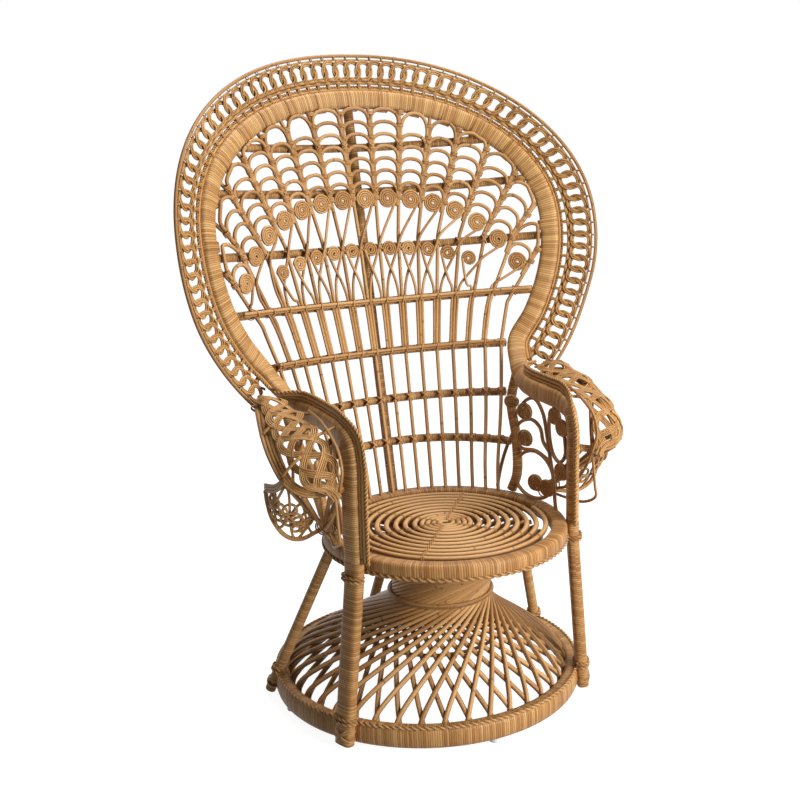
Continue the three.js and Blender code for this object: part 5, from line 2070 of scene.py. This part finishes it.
    def lay(self, bundle: Bundle, path: np.ndarray, *size: float, facing: np.ndarray | tuple | None = None,
            **section: object) -> None:
        """Lays a strand of the right arm on this one.

        Args:
            bundle: Bundle that takes it.
            path: Rows of x, y and z.
            *size: Its width, and its depth where that differs.
            facing: The way its depth follows, outward where left out.
            **section: Corners, taper and closure, as for a strand.
        """
        way = sided(self.outward if facing is None else facing, self.side)
        bundle.strand(sided(path, self.side), *size, facing=way, **section)

    def bind(self, bundle: Bundle, cane: tuple, *loop: np.ndarray | tuple) -> None:
        """Binds a cane round a joint of the right arm on this one.

        Args:
            bundle: Bundle that takes it.
            cane: Width and thickness of the cane.
            *loop: Middle of the loop and its two half axes.
        """
        bundle.loop(*(sided(vector, self.side) for vector in loop), *cane)

    def panel_point(self, back: np.ndarray, z: np.ndarray) -> np.ndarray:
        """Gives points of the right arm's panel, which spans from the front post to the neck post.

        Args:
            back: Distance behind the seat's middle.
            z: Height.

        Returns:
            Rows of x, y and z.
        """
        below = self.hoop.neck_height - PROBE
        neck_x = np.array([self.frame.reach(min(float(level), below)) for level in z])
        neck_y = self.frame.back.depth(neck_x, z)
        share = (back - self.hoop.foot[1]) / (neck_y - self.hoop.foot[1])
        return np.stack([self.hoop.foot[0] + (neck_x - self.hoop.foot[0]) * share, back, z], axis=1)

    def _coil(self, bundle: Bundle, middle: np.ndarray, across: np.ndarray, size: float) -> None:
        """Coils one upright scroll.

        Args:
            bundle: Bundle that takes it.
            middle: Middle of the scroll.
            across: Level direction in its plane.
            size: Its diameter.
        """
        cane = self.scroll_cane
        turns = size / 2 / cane - 0.5
        angle = np.linspace(0.0, TURN * turns, int(turns * self.scroll_rows))
        tuck = np.clip(1.0 - (angle[-1] - angle) / self.scroll_tuck, 0.0, 1.0)
        radius = (cane * (angle / TURN - tuck))[:, None]
        spots = middle + across * radius * np.cos(angle)[:, None] + UP * radius * np.sin(angle)[:, None]
        self.lay(bundle, spots, cane * self.scroll_pack, cane * self.scroll_deep, facing=np.cross(across, UP))

    def _panel(self) -> None:
        """Bends the strands of the panel and coils its scrolls."""
        panel = Bundle(f"arm_panel_{self.name}_cane", Finish.RATTAN, self.panel_tone)
        turn = np.linspace(0.0, TURN, self.loop_rows)
        oval = np.stack([self.loop_middle[0] + self.loop_half[0] * np.cos(turn),
                         self.loop_middle[1] + self.loop_half[1] * np.sin(turn)], axis=1)
        for line, closed in [*((np.array(run), False) for run in self.strands), (oval, True)]:
            spots = self.panel_point(line[:, 0], line[:, 1])
            path = spots if closed else curve(spots, CANE_STEP)
            self.lay(panel, path, self.panel_cane, facing=(-1.0, 0.0, 0.0), closed=closed)
        panel.tone = self.scroll_tone
        for back, height in self.scrolls:
            here, ahead = self.panel_point(np.array([back, back + POLE_STEP]), np.full(2, height))
            turned = math.radians(float(np.interp(back, *self.scroll_turns)))
            across = unit(ahead - here) * math.cos(turned) - np.array([math.sin(turned), 0.0, 0.0])
            here = here - np.array([self.panel_inset, 0.0, 0.0])
            self._coil(panel, here, unit(across), self.panel_scroll)
        spot = np.array(self.bar_end)
        facing = self.frame.back.facing(spot[0], spot[2])
        self._coil(panel, spot, unit(np.cross(UP, facing)), self.bar_scroll)
        panel.make(self.plan, f"arm_panel_{self.name}")

    def rim_line(self) -> np.ndarray:
        """Draws the rim of the right arm's roll, from the end of the border in to the front post.

        Returns:
            Rows of x, y and z.
        """
        end, _ = self.border.place(np.array([0.0]), self.rim_start, 0.0)
        return curve(np.vstack([end, self.rim_bends]), FINE_STEP)

    def lace_point(self, along: np.ndarray, out: np.ndarray) -> np.ndarray:
        """Gives points of the right roll's swelling lace.

        Args:
            along: Share of the way from the neck to the front.
            out: Share of the way from the band to the rim.

        Returns:
            Rows of x, y and z.
        """
        hoop, rim = self.hoop, self.rim_line()
        behind = hoop.depth / 2 + self.loop_cane / 2
        edge = hoop.path + hoop.outward * hoop.width / 4 - hoop.facings * behind
        mark = (self.roll_start + (self.roll_end - self.roll_start) * along) / FINE_STEP
        upper = sample(edge, np.arange(len(edge)), mark)
        share = (self.roll_rim[0] + self.roll_rim[1] * along) * (len(rim) - 1)
        lower = sample(rim, np.arange(len(rim)), share)
        swell = self.roll_swell * np.sin(math.pi * out)
        away = np.stack([swell, -swell * along, swell * (1 - along)], axis=1)
        return upper + (lower - upper) * out[:, None] + away

    def _roll(self) -> None:
        """Lays the rim of the roll and braids its ribbons of cane."""
        rim = Bundle(f"arm_roll_rim_{self.name}_canes", Finish.LACE)
        line = self.rim_line()
        ahead = tangents(line, False)
        inward = unit(np.array([self.hoop.foot[0], 0.0, self.hoop.arm_height]) - line)
        across = unit(np.cross(ahead, np.cross(ahead, inward)))
        outside = unit(np.cross(across, ahead))
        shrink = np.linspace(1.0, self.rim_taper, len(line))[:, None]
        for cane in range(self.rim_canes):
            shift = -cane * self.rim_cane * self.rim_pack
            path = line + across * shift * shrink
            self.lay(rim, path, self.rim_cane, facing=outside, sides=9, taper=self.rim_taper)
        for row in self.rim_ties:
            reach = across[row] * (self.rim_cane * self.rim_canes / 2 + self.rim_tie_gap)
            rise = np.cross(unit(reach), ahead[row]) * (self.rim_cane / 2 + self.rim_tie_gap)
            self.bind(rim, self.rim_tie_cane, line[row] - across[row] * self.rim_cane, reach, rise)
        rim.make(self.plan, f"arm_roll_rim_{self.name}")
        lace = Bundle(f"arm_roll_lace_{self.name}_ribbons", Finish.LACE)
        for index in range(self.ribbons):
            self._ribbon(lace, index)
        for along, low, high in self.lace_ties:
            spans = np.linspace(low, high, self.lace_tie_rows)
            self.lay(lace, self.lace_point(np.full_like(spans, along), spans), self.loop_cane)
        lace.make(self.plan, f"arm_roll_lace_{self.name}")

    def _ribbon(self, lace: Bundle, index: int) -> None:
        """Waves one ribbon of canes along the roll, over and under the others.

        Args:
            lace: Bundle that takes it.
            index: Which ribbon.
        """
        along = np.linspace(0.0, 1.0, self.ribbon_rows)
        phase = TURN * (self.ribbon_waves * along + index / self.ribbons)
        swing = self.ribbon_swing * np.clip((1.0 - along) / self.ribbon_close, self.ribbon_least, 1.0)
        out = self.ribbon_middle + swing * np.sin(phase)
        spots = self.lace_point(along, out)
        beside = self.lace_point(along, out + self.ribbon_probe[0])
        ahead = self.lace_point(along + self.ribbon_probe[1], out)
        normal = unit(np.cross(beside - spots, ahead - spots))
        lifted = spots + normal * (self.ribbon_lift * np.cos(2 * phase + index * math.pi))[:, None]
        wide = np.cross(tangents(lifted, False), normal)
        for cane in range(self.ribbon_canes):
            shift = (cane - (self.ribbon_canes - 1) / 2) * self.ribbon_cane
            self.lay(lace, lifted + wide * shift, self.ribbon_cane, facing=normal, sides=6)

    def _leaf_lace(self, wing: Bundle, low: np.ndarray, high: np.ndarray) -> None:
        """Fills the leaf with two waving canes and with rosettes of looping cane.

        Args:
            wing: Bundle that takes them.
            low: Rows of the leaf's lower edge.
            high: Rows of its upper edge, one for each of the lower.
        """
        shares = np.linspace(0.0, 1.0, len(low))
        for phase in (0.0, 0.5):
            wave = 0.5 + self.leaf_swing * np.sin(TURN * (self.leaf_waves * shares + phase))
            path = low + (high - low) * wave[:, None]
            self.lay(wing, path[slice(*self.leaf_ends)], self.leaf_cane, sides=6)
        turn = np.linspace(0.0, TURN, self.rosette_rows)[:, None]
        back = turn * (self.rosette_petals - 1)
        loop = self.rosette_loop
        for share, wave, size in self.rosettes:
            row = int(share * (len(low) - 1))
            middle = low[row] + (high[row] - low[row]) * wave
            rise = unit(high[row] - low[row])
            normal = unit(np.cross(tangents(low, False)[row], rise))
            level = np.cross(rise, normal)
            path = middle + size * (level * ((1.0 - loop) * np.cos(turn) + loop * np.cos(back))
                                    + rise * ((1.0 - loop) * np.sin(turn) - loop * np.sin(back)))
            path = path + normal * self.leaf_cane * np.cos(self.rosette_petals * turn) / 2
            self.lay(wing, path, self.leaf_cane, facing=normal, sides=6, closed=True)

    def _wing(self) -> None:
        """Draws the roll in to the seat and bends the leaf of lace below it."""
        wing = Bundle(f"arm_wing_{self.name}_canes", Finish.LACE, self.wing_tone)
        root, rim, corner = np.array(self.root), self.rim_line(), np.array(self.rim_bends[3])
        belly = curve(np.vstack([self.belly_bends, [root]]), self.wing_step)
        self.lay(wing, belly, self.wing_cane, sides=9)
        brow = curve([belly[0], (belly[0] + corner) / 2 - UP * self.brow_sag, corner], self.wing_step)
        for lift in self.brow_lifts:
            self.lay(wing, brow + UP * lift, self.brow_cane, sides=7)
        over = even(np.vstack([brow, even(np.array([corner, root]), self.wing_step)[1:]]), FINE_STEP)
        shares = np.linspace(0.0, 1.0, self.leaf_rows)
        low, high = (sample(line, np.linspace(0.0, 1.0, len(line)), shares) for line in (belly, over))
        self._leaf_lace(wing, low, high)
        for share in np.linspace(*self.funnel_span, self.funnel_canes):
            head = rim[int(share * (len(rim) - 1))]
            path = even(np.array([head, root]), self.funnel_step)
            self.lay(wing, path, self.funnel_cane, sides=9, taper=self.funnel_taper)
        for bends in (self.strut_bends, (*self.drop_bends, self.root), (*self.hook_bends, self.root)):
            self.lay(wing, curve(bends, self.wing_step), self.loop_cane)
        for turn in range(self.root_turns):
            middle = root + np.array(self.root_step) * turn
            self.bind(wing, self.root_cane, middle, self.root_reach, self.root_rise)
        wing.make(self.plan, f"arm_wing_{self.name}")


@dataclass(frozen=True)
class Studio:
    """Plain pale floor, soft light and the camera of the photograph."""

    middle: np.ndarray
    eye: tuple = (-1.13355, -2.35285, 1.33904)
    right: tuple = (0.89872, -0.43810, -0.01917)
    up: tuple = (0.11923, 0.20206, 0.97209)
    back: tuple = (-0.42200, -0.87592, 0.23383)
    focal: float = 1236.55
    principal: tuple = (442.36, 397.23)
    image: float = 800.0
    sensor: float = 36.0
    ambient: float = 0.06
    floor_size: float = 80.0
    floor_glow: float = 0.92
    floor_grey: float = 0.3
    floor_roughness: float = 0.9
    nearest: float = 0.05

    def build(self) -> None:
        """Makes camera, lights, world and floor."""
        self._camera()
        self._lights()
        self._world()
        self._floor()

    def _camera(self) -> None:
        """Sets the camera where the photograph was taken from."""
        lens = bpy.data.cameras.new("camera")
        lens.sensor_width = self.sensor
        lens.lens = self.focal / self.image * self.sensor
        lens.shift_x = (self.image / 2 - self.principal[0]) / self.image
        lens.shift_y = (self.principal[1] - self.image / 2) / self.image
        lens.clip_start = self.nearest
        camera = added("camera", lens)
        place = np.array(self.eye) + self.middle
        turn = Matrix((self.right, self.up, self.back)).transposed()
        camera.matrix_world = Matrix.Translation(Vector(place)) @ turn.to_4x4()
        bpy.context.scene.camera = camera

    def _lights(self) -> None:
        """Sets large soft lamps above, before and beside the chair."""
        lamps = (
            ("lamp_key", (2.3, -2.5, 3.0), (0.0, 0.0, 0.75), 1.5, 83.0),
            ("lamp_low", (0.8, -2.3, 0.85), (0.0, 0.0, 0.2), 1.2, 54.0),
            ("lamp_top", (0.4, 0.5, 3.2), (0.0, 0.0, 0.45), 1.6, 60.0),
            ("lamp_left", (-2.8, -1.6, 2.2), (0.0, 0.0, 0.75), 2.2, 3.0),
            ("lamp_behind", (0.4, 2.6, 2.4), (0.0, 0.0, 0.75), 2.0, 8.0),
        )
        for name, spot, target, size, power in lamps:
            light = bpy.data.lights.new(name, "AREA")
            light.shape = "DISK"
            light.size = size
            light.energy = power
            lamp = added(name, light)
            lamp.location = spot
            lamp.rotation_euler = (Vector(target) - Vector(spot)).to_track_quat("-Z", "Y").to_euler()

    @staticmethod
    def _seen(shading: Shading) -> bpy.types.NodeSocket:
        """Gives 1 for rays from the camera, directly or through gloss or glass.

        Args:
            shading: Helper of the tree that asks.

        Returns:
            The socket of the answer.
        """
        path = shading.node("ShaderNodeLightPath")
        share = shading.math("MAXIMUM", path.outputs["Is Camera Ray"], path.outputs["Is Glossy Ray"])
        return shading.math("MAXIMUM", share, path.outputs["Is Transmission Ray"])

    def _world(self) -> None:
        """Makes a white background and an even light from all round."""
        world = bpy.data.worlds.new("studio")
        bpy.context.scene.world = world
        shading = Shading.of(world)
        seen = self._seen(shading)
        strength = shading.math("MULTIPLY_ADD", seen, 1.0 - self.ambient, self.ambient)
        light = shading.node("ShaderNodeBackground", {"Color": (1.0, 1.0, 1.0, 1.0), "Strength": strength})
        shading.node("ShaderNodeOutputWorld", {"Surface": light.outputs[0]})

    def _floor(self) -> None:
        """Lays the floor, which keeps the chair's shadow."""
        half = self.floor_size / 2
        mesh = bpy.data.meshes.new("floor")
        corners = [(-half, -half, 0), (half, -half, 0), (half, half, 0), (-half, half, 0)]
        mesh.from_pydata(corners, [], [(0, 1, 2, 3)])
        made = bpy.data.materials.new("floor")
        shading = Shading.of(made)
        shading.surface({
            "Base Color": (*[self.floor_grey] * 3, 1.0), "Roughness": self.floor_roughness,
            "Emission Color": (1.0, 1.0, 1.0, 1.0),
            "Emission Strength": shading.math("MULTIPLY", self._seen(shading), self.floor_glow),
        })
        mesh.materials.append(made)
        floor = added("floor", mesh)


# In each cane finish, the last colour darkens the real joints of rattan and paints shade between turns and
# along the sides of strands.
FINISHES = {
    Finish.WRAPPED: CaneFinish(
        "wrapped_cane", dark=(0.22, 0.088, 0.022), middle=(0.44, 0.218, 0.071), light=(0.67, 0.4, 0.158),
        joint_and_seam_shade=(0.06, 0.024, 0.008), roughness=0.42, wound=True, along=2.2, around=0.7),
    Finish.RATTAN: CaneFinish(
        "bare_rattan", dark=(0.3, 0.137, 0.04), middle=(0.5, 0.264, 0.096), light=(0.68, 0.412, 0.176),
        joint_and_seam_shade=(0.15, 0.066, 0.022), roughness=0.4),
    Finish.LACE: CaneFinish(
        "lace_cane", dark=(0.28, 0.132, 0.042), middle=(0.47, 0.246, 0.082), light=(0.64, 0.38, 0.15),
        joint_and_seam_shade=(0.18, 0.085, 0.03), roughness=0.45),
    Finish.PLASTIC: PlasticFinish("glide_plastic", pale=(0.8, 0.79, 0.75), worn=(0.62, 0.6, 0.55)),
}


def main() -> None:
    """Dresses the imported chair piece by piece."""
    logging.basicConfig(level=logging.INFO, format="%(name)s %(message)s")
    bpy.context.scene.view_settings.view_transform = "Standard"
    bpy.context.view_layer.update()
    effects = Effects()
    materials = {kind: finish.material(effects) for kind, finish in FINISHES.items()}
    plan = Plan.read(materials)
    back = BackSurface(plan)
    hoop = Hoop(plan, back)
    base = BaseRing(plan)
    rear = BackFrame(plan, back, hoop)
    border = Border(plan, back, hoop)
    arms = (Arm(plan, hoop, rear, border, name, side) for name, side in SIDES.items())
    for part in (base, Seat(plan), Legs(plan, base), Skirt(plan, base), hoop, rear, border,
                 FeatherScreen(plan, back, hoop, rear), *arms):
        part.build()
        log.info("%s is built", type(part).__name__)
    Studio(plan.middle).build()


if __name__ == "__main__":
    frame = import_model()
    main()
